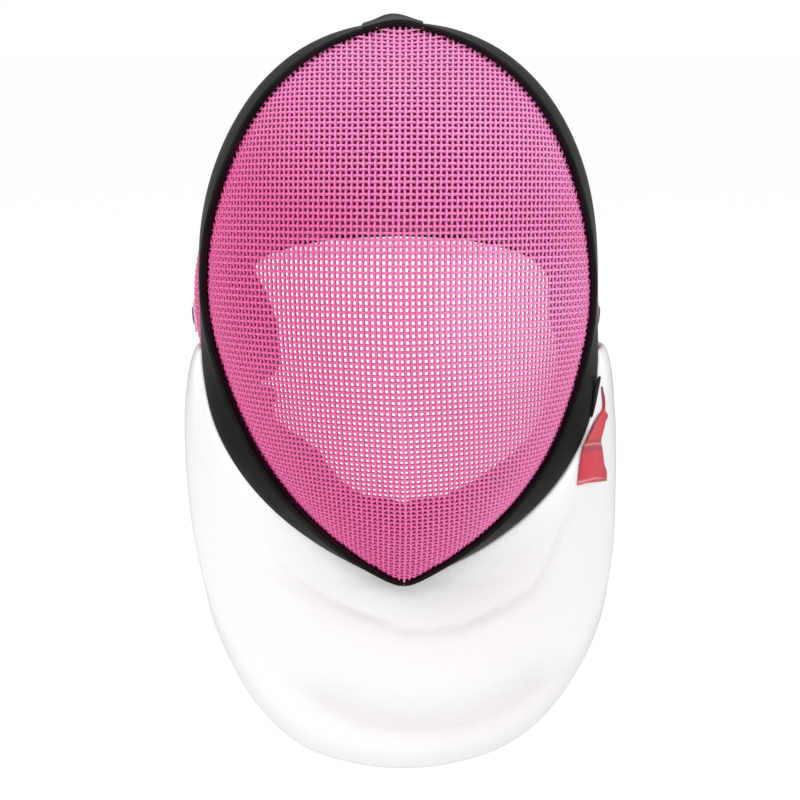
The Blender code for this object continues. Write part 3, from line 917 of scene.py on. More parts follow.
# %% Finish of the vinyl
def vinyl(name, colour, grain, inner=None):
    """Matt coated cloth: pebbled grain, faint wear, a soft sheen. Where a mesh has painted
    light written on its points, it takes the inner colour there: painted shade on the trim's
    inner edge, and a painted highlight on the crown patch's face."""
    finish = Finish(name, colour, 0.5, specular_ior_level=0.06)
    pebble = finish.node("ShaderNodeTexVoronoi", {"feature": "F1"},
                         {"Vector": finish.place(), "Scale": 1.3})
    clouds = finish.noise(0.05, 3.0)
    wear_and_shade = tuple(min(1.0, c * 1.9 + 0.004) for c in colour)
    tone = finish.mix(colour, wear_and_shade, (clouds - 0.42).at_least(0.0) * 2.4)
    if inner:
        tone = finish.mix(tone, inner, finish.painted("painted_light_share").at_most(1.0))
    finish.set("Base Color", tone)
    finish.set("Roughness", 0.44 + clouds * 0.16)
    finish.relief(pebble * 0.7 + finish.noise(3.0) * 0.3, grain)
    return finish.say()


# painted shade: the darker colour of the trim's inner edge beside the pink wire, and of its
# lips
VINYL_SHADED = (0.010, 0.0, 0.004)        # the inner side, next to the pink wire
black_vinyl = vinyl("black vinyl", (0.0062, 0.0071, 0.0065), 0.05, VINYL_SHADED)


# %% Helpers for bands
def band_outline(d0, d1, o0, o1, radius, crown=0.0, count=48):
    """Depths and heights round the section of a flat band with rounded corners."""
    corners = ((d0 + radius, o0 + radius, 180), (d1 - radius, o0 + radius, 270),
               (d1 - radius, o1 - radius, 0), (d0 + radius, o1 - radius, 90))
    loop = []
    for d, o, start in corners:
        for a in np.radians(np.linspace(start, start + 90, 5)):
            loop.append((d + radius * math.cos(a), o + radius * math.sin(a)))
    loop = np.array(loop + loop[:1])
    run = run_along(loop)
    at = np.linspace(0.0, run[-1], count, endpoint=False)
    d, o = np.interp(at, run, loop[:, 0]), np.interp(at, run, loop[:, 1])
    swell = crown * np.sin(math.pi * (d - d0) / (d1 - d0))
    return d, o + np.where(o > (o0 + o1) / 2, swell, 0.0)


def soften(rows, times, open_ends=False):
    """Average each row of a sweep with its neighbours. Open ends stay where they are."""
    for _ in range(times):
        mean = rows / 2 + (np.roll(rows, 1, axis=0) + np.roll(rows, -1, axis=0)) / 4
        if open_ends:
            mean[[0, -1]] = rows[[0, -1]]
        rows = mean
    return rows


# %% Draw the trim
TRIM_CORNER = 1.3
TRIM_CROWNING = 0.35
OUTER_STAYS = 0.8         # share of the lean that it leaves out on the wearer's right
OUTER_SWELL = (1.3, -95.0, 50.0)          # how far it stands out, z of the middle, reach

around = np.linspace(-LAST, LAST, 300, endpoint=False)
d, o = band_outline(0.0, TRIM_DEPTH, TRIM_LIFT, TRIM_LIFT + TRIM_WALL, TRIM_CORNER,
                    TRIM_CROWNING)
trim_rows = soften(side(around[:, None], d[None], o[None]), 6)
outer_right = rise(o, TRIM_LIFT, TRIM_LIFT + TRIM_WALL) * rise(-trim_rows[..., 0], 0.0, 30.0)
stays = OUTER_STAYS * outer_right[..., None]
trim_rows = lean(trim_rows) * (1 - stays) + trim_rows * stays
trim_rows = shifted(trim_rows, [OUTER_SWELL], -outer_right)
trim = add_piece("rim_band", *sweep(trim_rows, True), black_vinyl, "black_trim",
                 ["rim_trim"])
# painted shade on the trim's edge beside the face mesh
is_inner = rise(d, 4.0, 1.0) * rise(o, 2.6, 1.8)          # the edge beside the face mesh
write_values(trim, "painted_light_share", np.tile(is_inner, len(trim_rows)))

# %% Draw the trim's lips, before and behind the ends of the wires
# front and back behind the rim, lower and upper side over the mesh, corner radius
BEAD = (-1.6, 8.0, 0.15, 1.9, 0.5)
FLAP = (0.9, 8.0, -1.9, 0.9, 0.8)
CROWN_GAP = 0.7           # how far the undersides of the lips are lifted at the crown

# painted shade: the lips are the trim's vinyl given its shaded colour
shaded_lip_vinyl = vinyl("shaded vinyl", VINYL_SHADED, 0.02)
for name, shape in (("rim_bead", BEAD), ("rim_lip", FLAP)):
    d, o = band_outline(*shape, 0.0, 32)
    crown_gap = CROWN_GAP * bump(around, 3.4)[:, None] * rise(o, 1.9, 0.15)
    lip_rows = side(around[:, None], np.maximum(d, 0.0)[None], o + crown_gap)
    lip_rows = soften(lip_rows, 8)
    lip_rows[..., 1] += np.minimum(d, 0.0)[None]
    add_piece(name, *sweep(lean(lip_rows), True), shaded_lip_vinyl, "black_trim", ["rim_trim"])

# %% [markdown]
# ## The binding of the rear edge
# The cut ends of the wire at the back are covered by a narrower folded tape.

# %% Draw the rear binding
GAP = 0.3
REAR_END = 8.5            # station where the binding runs out, just above the bib
BINDING_DEPTH = 7.0
BINDING_WALL = 3.4
BINDING_BASE = -2.7       # its underside, inside the mesh
BINDING_REACH = 5.0       # it begins this far before the rear edge


def taper(stations, length):
    """1 along a band and falling to 0 in a round end at both of its ends."""
    run = run_along(side(stations, TRIM_DEPTH / 2))
    from_end = np.minimum(run, run[-1] - run) / length
    return np.sqrt(1.0 - (1.0 - np.minimum(from_end, 1.0)) ** 2)


def drawn_in(d, o, share):
    """A section's outline drawn towards its middle, for a rounded end."""
    share = np.maximum(share, 0.05)[:, None]
    middle_d, middle_o = d.mean(-1, keepdims=True), o.mean(-1, keepdims=True)
    return middle_d + (d - middle_d) * share, middle_o + (o - middle_o) * share


back_way = np.linspace(-REAR_END, REAR_END, 200)
d, o = band_outline(GAP, GAP + BINDING_DEPTH, BINDING_BASE, BINDING_BASE + BINDING_WALL,
                    1.5, 0.0, 32)
d, o = drawn_in(side_length(back_way)[:, None] - BINDING_REACH + d,
                np.tile(o, (len(back_way), 1)), taper(back_way, 1.6))
add_piece("rear_band", *sweep(side(back_way[:, None], d, o)), black_vinyl, "black_trim",
          ["rear_trim"])

# %% [markdown]
# ## The patch over the trim at the crown, and the trim's loose end
# Where the ends of the trim meet, a grey patch is sewn over them. At the wearer's left
# cheek one end of tape stands free and tapers to a point.

# %% Draw the crown patch
TAB_RIGHT = 0.76          # stations it reaches to the wearer's right
TAB_LEFT = 0.46
TAB_PEAK = -0.17          # station where it is thickest
TAB_FRONT = 1.5           # behind the rim
TAB_DEPTH = 15.0
TAB_BASE = 3.5            # its underside, out from the side mesh
TAB_WALL = 2.5
ROWS_PER_STATION = 10     # as many as the trim has, to be softened alike
TAB_MARGIN = 3.0          # stations to each side that the softened rows cover


def row_between(rows, at):
    """Rows read at places between them."""
    k = at.astype(int)
    return rows[k] + (rows[k + 1] - rows[k]) * (at - k)[:, None, None]


# the patch's front face is painted a lighter grey: a painted highlight
grey_vinyl = vinyl("grey vinyl", (0.035, 0.037, 0.036), 0.05, (0.11, 0.11, 0.108))
d, o = band_outline(TAB_FRONT, TAB_FRONT + TAB_DEPTH, TAB_BASE, TAB_BASE + TAB_WALL,
                    0.9, 0.3, 44)
near = np.linspace(-TAB_MARGIN, TAB_MARGIN, int(2 * TAB_MARGIN * ROWS_PER_STATION) + 1)
across = np.linspace(-TAB_RIGHT, TAB_LEFT, 60)
at = (across + TAB_MARGIN) * ROWS_PER_STATION
rows, base = [row_between(soften(side(near[:, None], d[None], height[None]), 6), at)
              for height in (o, np.full(len(o), TAB_BASE))]
rows = base + (rows - base) * (0.45 + bump(across - TAB_PEAK, 0.36))[:, None, None]
middle_line = rows.mean(1, keepdims=True)
rows = middle_line + (rows - middle_line) * taper(across, 1.3).clip(0.05)[:, None, None]
patch = add_piece("crown_patch", *sweep(rows), grey_vinyl, "grey_cover", ["crown_tab"])
# painted highlight on the patch's front face
lit_face_share = rise(d, 6.0, 3.0) * bump(o - TAB_BASE - 1.0, 0.7)
write_values(patch, "painted_light_share", np.tile(lit_face_share, len(rows)))

# %% Draw the loose end
# station, front edge, back edge behind the rim, height over the side mesh
LOOSE_END = np.array(((9.13, 14.2, 17.4, 4.7), (9.25, 13.6, 17.9, 4.4), (9.45, 13.8, 17.9, 3.9),
                      (9.7, 15.0, 17.8, 3.6), (9.95, 16.4, 17.4, 3.5)))
LOOSE_WALL = 0.9
along = np.linspace(LOOSE_END[0, 0], LOOSE_END[-1, 0], 40)
edges = through(LOOSE_END[:, 0], LOOSE_END[:, 1:], along)
d, o = band_outline(0.0, 1.0, 0.0, 1.0, 0.3, 0.0, 24)
d = edges[:, :1] + (edges[:, 1:2] - edges[:, :1]) * d[None]
o = edges[:, 2:] + LOOSE_WALL * np.tile(o, (len(along), 1))
d, o = drawn_in(d, o, taper(along, 1.0))
add_piece("loose_end", *sweep(lean(side(along[:, None], d, o))), black_vinyl, "black_trim",
          ["trim_end"])

# %% [markdown]
# ## The strap round the back
# A band of pale elastic holds the mask on. Elastic webbing is woven with thick cords along
# its length, and the cords stand up as ribs. It is thin, and its inner side is given a glow:
# painted light standing for the light that falls on its outer face. Its ends are held by two
# small studs.

# %% Finish of the elastic
def elastic_web():
    """Ribs along the webbing, finer picks across it, painted shade in their grooves, and a
    painted glow on its inner side.
    """
    finish = Finish("elastic web", (0.80, 0.62, 0.72), 0.85, sheen_weight=0.2,
                    emission_strength=0.75)
    rib = finish.ridges("over", 1.25)
    pick = finish.ridges("along", 0.9)
    weave = rib * 0.6 + pick * 0.25
    # painted shade: the colour is darker in the grooves between ribs and picks and lighter on
    # their tops
    finish.set("Base Color", finish.mix((0.60, 0.42, 0.53), (0.88, 0.74, 0.82),
                                        (weave * 0.4 + 0.6).at_most(1.0)))
    # painted light: the inner side glows, standing for light coming through the thin webbing
    glow = finish.mix((0.0, 0.0, 0.0), (0.82, 0.84, 0.96), finish.painted("painted_light_share"))
    finish.set("Emission Color", glow)
    finish.relief(weave, 0.25)
    return finish.say()


# %% Draw the strap
# x, y, z of its top edge, then of its bottom edge, centre back to the stud
STRAP = np.array((
    (0.0, 92.4, -90.5, 0.0, 92.8, -110.5),
    (31.2, 89.4, -90.5, 31.2, 89.8, -110.5),
    (57.2, 81.0, -90.5, 57.2, 81.4, -110.5),
    (77.2, 70.8, -92.5, 77.4, 71.2, -112.0),
    (88.2, 60.4, -99.0, 88.6, 60.8, -117.5),
    (95.8, 51.6, -106.5, 96.0, 52.0, -124.0),
    (104.0, 34.8, -117.0, 103.6, 34.8, -133.0),
    (106.6, 18.2, -123.0, 105.8, 18.2, -138.5),
    (106.7, 2.0, -125.0, 105.7, 2.0, -140.0),
))
STRAP_WALL = 1.2
STRAP_WIDTH = 20.0
LEFT_LIFT = (2.6, 84.0, 22.0)     # mm up on the wearer's left, mm from the back, reach

strap_run = run_along(STRAP[:, :3])
half_way = np.linspace(0.0, strap_run[-1], 75)
half = through(strap_run, STRAP, half_way)
half[0, (0, 3)] = 0.0
other = half[:0:-1] * np.tile((-1.0, 1.0, 1.0), 2)
half[:, (2, 5)] += LEFT_LIFT[0] * bump(half_way - LEFT_LIFT[1], LEFT_LIFT[2])[:, None]
edges = np.concatenate([other, half])
distance = np.concatenate([-half_way[:0:-1], half_way])
top, bottom = edges[:, :3], edges[:, 3:]
out = unit(np.cross(np.gradient((top + bottom) / 2, axis=0), top - bottom))
w, t = band_outline(0.0, 1.0, -0.5, 0.5, 0.08, 0.0, 64)
rows = askew(bottom[:, None] + (top - bottom)[:, None] * w[:, None]
             + out[:, None] * (t * STRAP_WALL)[:, None])
strap = add_piece("back_band", *sweep(rows), elastic_web(), "pale_elastic", ["back_strap"])
write_values(strap, "over", np.tile(w * STRAP_WIDTH, len(rows)))
write_values(strap, "along", np.repeat(distance, len(w)))
# painted light on the inner side: the glow, dimmed to a painted shade line along the bottom
# edge
is_inner = np.where(t > 0.4, 1.0 - 0.5 * bump(w, 0.07), 0.0)
write_values(strap, "painted_light_share", np.tile(is_inner, len(rows)))

# %% [markdown]
# ## The studs
# Each end of the strap is held by a cap with a rolled edge and a dimple. A turned part like
# this is a profile spun round an axis, here by the Screw modifier. The studs are named left
# and right as they are seen from the front.

# %% Draw the studs
STUD_AT = (107.1, 8.5, -132.3)
STUD_LEAN = math.radians(95.3)
# radius and height of the cap's profile, under the rim to the middle of the dimple
STUD_PROFILE = ((0.0, -0.6), (4.4, -0.6), (4.9, -0.3), (5.0, 0.1), (4.7, 0.5), (4.0, 0.72),
                (2.6, 0.75), (1.9, 0.5), (1.2, 0.42), (0.0, 0.4))

dark_vinyl = vinyl("dark stud", (0.11, 0.045, 0.09), 0.02)
for name, way in (("stud_left", -1.0), ("stud_right", 1.0)):
    mesh = bpy.data.meshes.new(name)
    profile = [(r * MM, 0.0, h * MM) for r, h in STUD_PROFILE]
    mesh.from_pydata(profile, [(k, k + 1) for k in range(len(profile) - 1)], [])
    mesh.materials.append(dark_vinyl.material)
    stud = bpy.data.objects.new(name, mesh)
    bpy.context.scene.collection.objects.link(stud)
    spin = stud.modifiers.new("turned", "SCREW")
    spin.steps = spin.render_steps = 40
    spin.use_merge_vertices = True
    spin.merge_threshold = 1e-6
    spin.use_normal_calculate = True
    stud.location = askew(np.array(STUD_AT) * (way, 1.0, 1.0)) * MM
    stud.rotation_euler = (0.0, way * STUD_LEAN, 0.0)
    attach(stud, "root")
    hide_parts("strap_anchor_" + name.split("_")[1])
print("two studs, each of", len(STUD_PROFILE), "profile points")

# %% [markdown]
# ## The shape of the bib
# The bib hangs from the trim round the throat. Seen from above it is half a ring whose size
# changes with height, and its hem is one long curve. Every point of the cloth has two
# numbers: u goes from the middle front, 0, to the back corner, 1, and v from the top edge
# to the hem.

# %% Tables and points of the bib
# z, half width, y of its middle front, y of its widest point
BIB = np.array((
    (-141.0, 107.0, -64.0, 15.0),
    (-150.0, 111.4, -60.0, 15.0),
    (-158.0, 113.0, -56.5, 15.0),
    (-168.0, 113.6, -52.0, 15.0),
    (-190.0, 113.6, -43.5, 14.0),
    (-210.0, 112.4, -37.5, 12.0),
    (-232.0, 110.6, -34.5, 9.0),
    (-253.0, 108.6, -34.5, 5.0),
    (-264.0, 107.3, -36.5, 3.0),
    (-275.0, 106.0, -40.5, 1.0),
    (-286.0, 104.8, -45.5, -1.0),
    (-300.0, 102.5, -52.0, -3.0),
    (-320.0, 99.5, -60.5, -6.0),
    (-354.0, 95.0, -71.0, -10.0),
))
# turn round from the middle front in degrees, z
HEM = np.array((
    (0.0, -352.0), (5.5, -351.9), (14.2, -350.5), (20.9, -348.9), (29.1, -345.8),
    (34.3, -342.9), (42.3, -336.7), (48.5, -330.4), (54.5, -323.4), (59.6, -316.6),
    (64.4, -309.7), (69.3, -302.3), (74.2, -293.5), (78.5, -284.0), (84.0, -271.0),
    (91.0, -252.0), (98.0, -231.0), (105.0, -206.0), (111.0, -178.0),
))
BIB_WALL = 4.0
BIB_BACK = 62.0           # half depth of the ring behind its widest point
BIB_EDGE_BACK = 0.5       # the cloth's top edge lies this far behind the trim
BIB_TURN = 11.0 / 18.0    # share of the top edge that follows the trim
BIB_CORNER = 8.654        # station where the top edge turns back along the side mesh
BIB_SET_OFF = 1.9         # how far the top edge stands off the mesh at the wearer's left
HEM_EASE = 0.9            # below 1 it spreads the cloth towards the corners at the hem


# %% Points of the bib
def bib_point(turn, z):
    """Middle of the cloth, turn in degrees round from the middle front."""
    half, front, wide = np.moveaxis(through(-BIB[:, 0], BIB[:, 1:], -z), -1, 0)
    a = np.radians(turn)
    reach = np.where(turn <= 90.0, wide - front, BIB_BACK)
    return np.stack([half * np.sin(a), wide - reach * np.cos(a), z], -1)


def bib_turn(p):
    """How far round the bib a point is, in degrees."""
    half, front, wide = np.moveaxis(through(-BIB[:, 0], BIB[:, 1:], -p[..., 2]), -1, 0)
    reach = np.where(p[..., 1] <= wide, wide - front, BIB_BACK)
    return np.degrees(np.arctan2(p[..., 0] / half, (wide - p[..., 1]) / reach))


def bib_top(u):
    """Top edge of the bib: up behind the trim, then back along the side mesh."""
    start = TRIM_DEPTH + BIB_EDGE_BACK
    s = np.where(u <= BIB_TURN, LAST + (BIB_CORNER - LAST) * u / BIB_TURN, BIB_CORNER)
    far = float(side_length(BIB_CORNER)) + 2.0
    d = start + (far - start) * np.maximum(u - BIB_TURN, 0.0) / (1 - BIB_TURN)
    return side(s, d, np.full_like(u, GAP + BIB_WALL / 2))


def bib_sheet(u, v):
    """Middle of the cloth at u and v, arrays of one shape. A negative u is mirrored."""
    top = bib_top(np.abs(u))
    t0, z0 = bib_turn(top), top[..., 2]
    hem = through(HEM[:, 0] / HEM[-1, 0], HEM, np.abs(u) ** HEM_EASE)
    turn = t0 + (hem[..., 0] - t0) * v
    z = z0 + (hem[..., 1] - z0) * v
    rest = top - bib_point(t0, z0)
    p = bib_point(turn, z) + rest * ((1 - v) ** 2)[..., None]
    p[..., 0] = np.where(u == 0.0, 0.0, p[..., 0]) * np.where(u < 0, -1.0, 1.0)
    p[..., 0] += BIB_SET_OFF * on_left_side(p) * (1 - v) ** 2
    return p


print("bib: half", round(float(BIB[:, 1].max()), 1), "mm wide at most, hem at z",
      round(float(HEM[0, 1])))


# %% [markdown]
# ## Creases of the bib
# The throat piece of the bib is joined in a smile-shaped seam under the chin, and the cloth
# below it hangs in one soft fold. Both are tables of u and v along the crease. A point's
# distance to the crease, above or below it, says how far the padding is drawn in or swells.

# %% Tables of the creases
# u, v along the seam, wearer's right to left
THROAT_SEAM = np.array((
    (-0.33, 0.250), (-0.24, 0.255), (-0.13, 0.262), (-0.06, 0.262), (0.02, 0.292),
    (0.10, 0.325), (0.16, 0.336), (0.225, 0.350), (0.285, 0.374), (0.315, 0.355),
    (0.35, 0.300), (0.38, 0.262), (0.43, 0.250), (0.495, 0.335), (0.59, 0.485),
))
# u, v along the fold
LOW_FOLD = np.array((
    (-0.42, 0.745), (-0.265, 0.755), (-0.19, 0.748), (-0.125, 0.753), (-0.065, 0.763),
    (0.0, 0.772), (0.065, 0.790), (0.105, 0.800), (0.21, 0.815), (0.345, 0.845),
    (0.41, 0.872), (0.51, 0.905),
))


# %% How far a point is from a crease
END_FADE = 40.0           # a crease fades out over this many of its 240 places


def crease_distance(points, v, crease):
    """Distance in mm to the crease, positive below it, and a share that fades at its ends."""
    along = np.linspace(0.0, 1.0, 240)
    keys = np.linspace(0.0, 1.0, len(crease))
    line_uv = through(keys, crease, along)
    line = bib_sheet(line_uv[:, 0], line_uv[:, 1])
    far = np.full(len(points), 1e9)
    nearest = np.zeros(len(points), int)
    for k, spot in enumerate(line):
        step = np.linalg.norm(points - spot, axis=1)
        nearest = np.where(step < far, k, nearest)
        far = np.minimum(far, step)
    below = np.where(v > line_uv[nearest, 1], 1.0, -1.0)
    from_end = np.minimum(nearest, len(line) - 1 - nearest) / END_FADE
    return far * below, np.minimum(from_end, 1.0)


# %% Edges and lean of the bib
EDGE_STEPS = np.array((0.0, 0.18, 0.5, 1.0, 1.7))    # mm in from a rounded edge
BIB_ROWS, BIB_COLUMNS = 40, 120
BIB_ROUND = 465.0         # mm from corner to corner
BIB_HALF = 232.0          # mm from the middle front to a corner
BIB_DROP = 125.0          # mm from the top edge to the hem, on the average
BIB_INSIDE = (0.0, 10.0, 0.0)             # a point inside the ring, to tell the way outward


def with_edge_rows(length, count):
    """Places from 0 to 1, close together at both ends."""
    edge = EDGE_STEPS / length
    return np.concatenate([edge, np.linspace(edge[-1], 1 - edge[-1], count)[1:-1],
                           1 - edge[::-1]])


def edge_share(distance):
    """How thick the padded edge is so many mm in, as a share of full."""
    inside = np.minimum(distance / (BIB_WALL / 2), 1.0)
    return np.sqrt(np.maximum(1.0 - (1.0 - inside) ** 2, 0.0))


def bib_lean(z):
    """The real bib hangs a little askew: sideways shift in mm at a height."""
    heights = (-360.0, -335.0, -306.0, -280.0, -255.0, -225.0, -180.0, -140.0)
    shifts = (0.8, 2.6, 3.6, 3.4, 2.4, 0.8, -0.6, -0.6)
    return np.interp(z, heights, shifts)


print("the bib hangs up to", round(float(bib_lean(-306.0)), 1), "mm to one side")

# %% Lay the cloth
cloth_u = with_edge_rows(BIB_ROUND, BIB_COLUMNS) * 2 - 1
cloth_v = with_edge_rows(BIB_DROP, BIB_ROWS)
U, V = [a.ravel() for a in np.meshgrid(cloth_u, cloth_v)]
middle = bib_sheet(U, V)
grid = middle.reshape(len(cloth_v), len(cloth_u), 3)
run_u = np.gradient(grid, axis=1).reshape(-1, 3)
run_v = np.gradient(grid, axis=0).reshape(-1, 3)
outward = unit(np.cross(run_u, run_v))
outward *= np.where((outward * (middle - BIB_INSIDE) * (1, 1, 0)).sum(1) > 0,
                    1.0, -1.0)[:, None]
across_mm = np.minimum(U + 1, 1 - U) * BIB_HALF
down_mm = np.minimum(V, 1 - V) * BIB_DROP
from_top, from_hem = V * BIB_DROP, (1 - V) * BIB_DROP
half_wall = BIB_WALL / 2 * edge_share(np.minimum(across_mm, down_mm))
print("cloth:", len(cloth_v), "rows of", len(cloth_u), "points")

# %% Draw it in at the creases
# every bump below is a height in mm and how far it reaches from the crease, in mm
seam, seam_share = crease_distance(middle, V, THROAT_SEAM)
fold, fold_share = crease_distance(middle, V, LOW_FOLD)
above = fold < 0
swell = -0.5 * bump(seam, 1.3) * seam_share
swell += np.where(seam > 0, 0.7 * (1 - bump(seam, 3.0)) * bump(seam, 16.0), 0) * seam_share
swell -= np.where(seam < 0, 0.3 * bump(seam, 5.0), 0.5 * bump(seam, 2.0)) * seam_share
swell += np.where(above, -5.0 * bump(fold, 19.0), -5.0 * bump(fold, 6.0)) * fold_share
swell -= 1.4 * bump(from_hem, 9.0)
swell *= rise(from_top, 0.0, 6.0)
print("swell:", round(swell.min(), 1), "to", round(swell.max(), 1), "mm")
outer = middle + outward * (half_wall + swell)[:, None]
inner = middle - outward * (half_wall - swell * 0.5)[:, None]
for skin in (outer, inner):
    top_share = (1 - V[:, None]) ** 2         # the top edge goes with the trim
    skin[:] = skin * (1 - top_share) + lean(skin) * top_share
    skin[:, 0] += bib_lean(skin[:, 2])

# %% Two skins that share their border points
count = len(cloth_u) * len(cloth_v)
number = np.arange(count).reshape(len(cloth_v), len(cloth_u))
inner_number = number + count
inner_number[[0, -1], :] = number[[0, -1], :]
inner_number[:, [0, -1]] = number[:, [0, -1]]
used = np.unique(np.concatenate([number.ravel(), inner_number.ravel()]))
new_number = np.zeros(2 * count, int)
new_number[used] = np.arange(len(used))


def skin_faces(numbers):
    """Faces of one skin, given the numbers of its points in rows."""
    n = new_number[numbers]
    return np.stack([n[:-1, :-1], n[1:, :-1], n[1:, 1:], n[:-1, 1:]], -1).reshape(-1, 4)


bib_points = np.concatenate([outer, inner])[used]
bib_faces = skin_faces(number).tolist() + skin_faces(inner_number)[:, ::-1].tolist()
print("the two skins have", len(bib_points), "points")


# %% [markdown]
# ## Air in the padding
# Quilted cloth is drawn tight at its seams and swells between them. Blender's Cloth does
# that: the closed skin gets air pressure, the sewn points are pinned, gravity is off, and
# twenty frames later the swollen points are written back into the mesh. No point may move
# further than a set distance, so the piece keeps its place on the mask.

# %% Helpers for padding
AIR_PRESSURE = 4.0
AIR_FRAMES = 20


def swell_with_air(ob, pinned, furthest):
    """Run Cloth with pressure on a closed mesh and write the result back."""
    mesh = ob.data
    group = ob.vertex_groups.new(name="sewn")
    for k in np.flatnonzero(pinned):
        group.add([int(k)], 1.0, "REPLACE")
    cloth = ob.modifiers.new("air", "CLOTH")
    cloth.settings.vertex_group_mass = "sewn"
    cloth.settings.use_pressure = True
    cloth.settings.uniform_pressure_force = AIR_PRESSURE
    cloth.settings.effector_weights.gravity = 0.0
    cloth.collision_settings.use_collision = False
    cloth.point_cache.frame_end = AIR_FRAMES
    for moment in range(1, AIR_FRAMES + 1):
        bpy.context.scene.frame_set(moment)
    swollen = ob.evaluated_get(bpy.context.evaluated_depsgraph_get()).data
    before = np.zeros(len(mesh.vertices) * 3, np.float32)
    after = before.copy()
    mesh.vertices.foreach_get("co", before)
    swollen.vertices.foreach_get("co", after)
    ob.modifiers.remove(cloth)
    ob.vertex_groups.remove(group)
    bpy.context.scene.frame_set(1)
    move = (after - before).reshape(-1, 3)
    far = np.maximum(np.linalg.norm(move, axis=1), 1e-9)[:, None]
    limit = furthest * MM
    after = before.reshape(-1, 3) + move / far * limit * np.tanh(far / limit)
    mesh.vertices.foreach_set("co", after.ravel())
    mesh.update()
    print(ob.name, "swelled by up to", round(float(far.max()) / MM, 1), "mm before the limit")


def round_off(ob):
    """Round the faces of padding with one level of subdivision."""
    smooth = ob.modifiers.new("smooth", "SUBSURF")
    smooth.levels = smooth.render_levels = 1


# %% Finish of the white cloth
def white_cloth():
    """Tight twill: two sets of threads as fine ridges over random clouds. Painted shade greys
    the seams, the top edge and the hem, the fold's hollow and the wearer's left side, and
    painted light brightens the cloth near the top edge. The coat stands for fine nap, which
    swallows light where the cloth is seen at a glancing angle."""
    finish = Finish("white cloth", (0.9, 0.9, 0.91), 0.88, coat_weight=1.0,
                    coat_ior=1.001, coat_roughness=1.0, coat_tint=(0.957, 0.957, 0.959, 1.0))
    warp = finish.ridges("around_mm", 0.85)
    weft = finish.ridges("down_mm", 0.85)
    clouds = finish.noise(0.02, 3.0)
    # painted shade: grey along the throat seam, the top edge and the hem
    seam_shade = finish.painted("seam_share").at_most(1.0)
    # painted shade: the cloth is drawn darker towards the wearer's left, over random clouds
    share = finish.place(0) * 0.010 + clouds * 0.3 + 0.42
    cloth_tone_with_light = finish.mix((0.93, 0.93, 0.935), (0.882, 0.872, 0.877),
                       share.at_least(0.0).at_most(1.0))
    # painted light: the cloth is lighter near its top edge, under the trim
    cloth_tone_with_light = finish.mix(cloth_tone_with_light, (0.99, 0.985, 0.985), finish.painted("top_share"))
    # painted shade: darker in the hollow above the low fold and by the hem, with the seam's
    # shade
    wear_and_shade = (seam_shade * 0.20 + finish.painted("hollow_share") * 0.34).at_most(1.0)
    finish.set("Base Color", finish.mix(cloth_tone_with_light, (0.60, 0.57, 0.59), wear_and_shade))
    finish.relief(warp * weft * 0.5 + finish.noise(0.9) * 0.5, 0.08)
    return finish.say()


# %% Make the bib
bib_cloth = white_cloth()
bib = add_piece("bib_cloth", bib_points, bib_faces, bib_cloth, "white_cloth", ["bib"])
# painted shade in the fold's hollow, by the hem, along the seam and at the edges, and painted
# light near the top edge
values = {"around_mm": U * BIB_HALF, "down_mm": from_top,
          "hollow_share": np.where(above, bump(fold, 15.0), bump(fold, 3.0)) * fold_share
          + 1.1 * bump(from_hem - 2.0, 9.0),
          "top_share": bump(from_top, 16.0),
          "seam_share": np.maximum(bump(seam, 0.9) * seam_share * 0.8,
                                   bump(down_mm - 0.4, 0.8) * 0.5)}
for name, value in values.items():
    write_values(bib, name, np.tile(value, 2)[used])
sewn = (np.abs(seam) < 1.2) | (np.minimum(down_mm, across_mm) < 5.0)
swell_with_air(bib, np.tile(sewn, 2)[used], 1.5)
round_off(bib)

# %% [markdown]
# ## The red tag
# A short folded ribbon hangs from the trim on the right of the picture: a thin stem, a
# folded neck, then a leaf that flares to its stitched end. The real one carries a printed
# sign, which is left out.

# %% Table of the tag
# seen from the front: u and v of its left edge, u and v of its right edge, lift off the cloth
TAG = np.array((
    (0.583, 0.072, 0.593, 0.089, 0.9),
    (0.584, 0.103, 0.602, 0.134, 0.9),
    (0.587, 0.144, 0.603, 0.171, 1.1),
    (0.574, 0.143, 0.602, 0.191, 1.4),
    (0.536, 0.095, 0.607, 0.221, 1.8),
    (0.492, 0.035, 0.591, 0.223, 2.2),
    (0.466, 0.011, 0.566, 0.209, 2.5),
    (0.447, 0.000, 0.546, 0.199, 2.8),
    (0.440, 0.001, 0.548, 0.214, 2.9),
    (0.436, 0.006, 0.565, 0.258, 2.5),
    (0.436, 0.060, 0.592, 0.350, 1.9),
    (0.437, 0.104, 0.608, 0.412, 1.5),
    (0.438, 0.139, 0.615, 0.450, 1.3),
    (0.438, 0.172, 0.617, 0.462, 1.2),
))
TAG_WALL = 0.6
TAG_CURL = 0.5            # mm that its middle rises and falls along it
CURL_TURN = 9.0           # radians of that wave from end to end
# places along it, in rows of the table counted from 0
STEM_END, NECK, HEM_STITCH = 2.7, 8.3, 12.6
NECK_FOLDS = (7.3, 9.1)
print("tag:", len(TAG), "rows")


# %% Finish of the ribbon
def ribbon():
    """Woven ribbon: fine cross ribs, painted shade at the folds, the stem and the edges, a pale
    stitched end.
    """
    finish = Finish("red ribbon", (0.72, 0.035, 0.07), 0.6, sheen_weight=0.1)
    rib = finish.ridges("down_mm", 0.6)
    fold = finish.painted("fold_share").at_most(1.0)
    pale = finish.painted("pale_share").at_most(1.0)
    red = finish.mix((0.50, 0.010, 0.028), (0.68, 0.030, 0.060), finish.noise(0.25, 3.0))
    # painted shade: darker at the folds, along the stem and at the edges
    red = finish.mix(red, (0.22, 0.02, 0.035), fold)
    finish.set("Base Color", finish.mix(red, (0.86, 0.42, 0.46), pale))
    finish.relief(rib * 0.6 + finish.noise(1.5) * 0.4, 0.08)
    return finish.say()


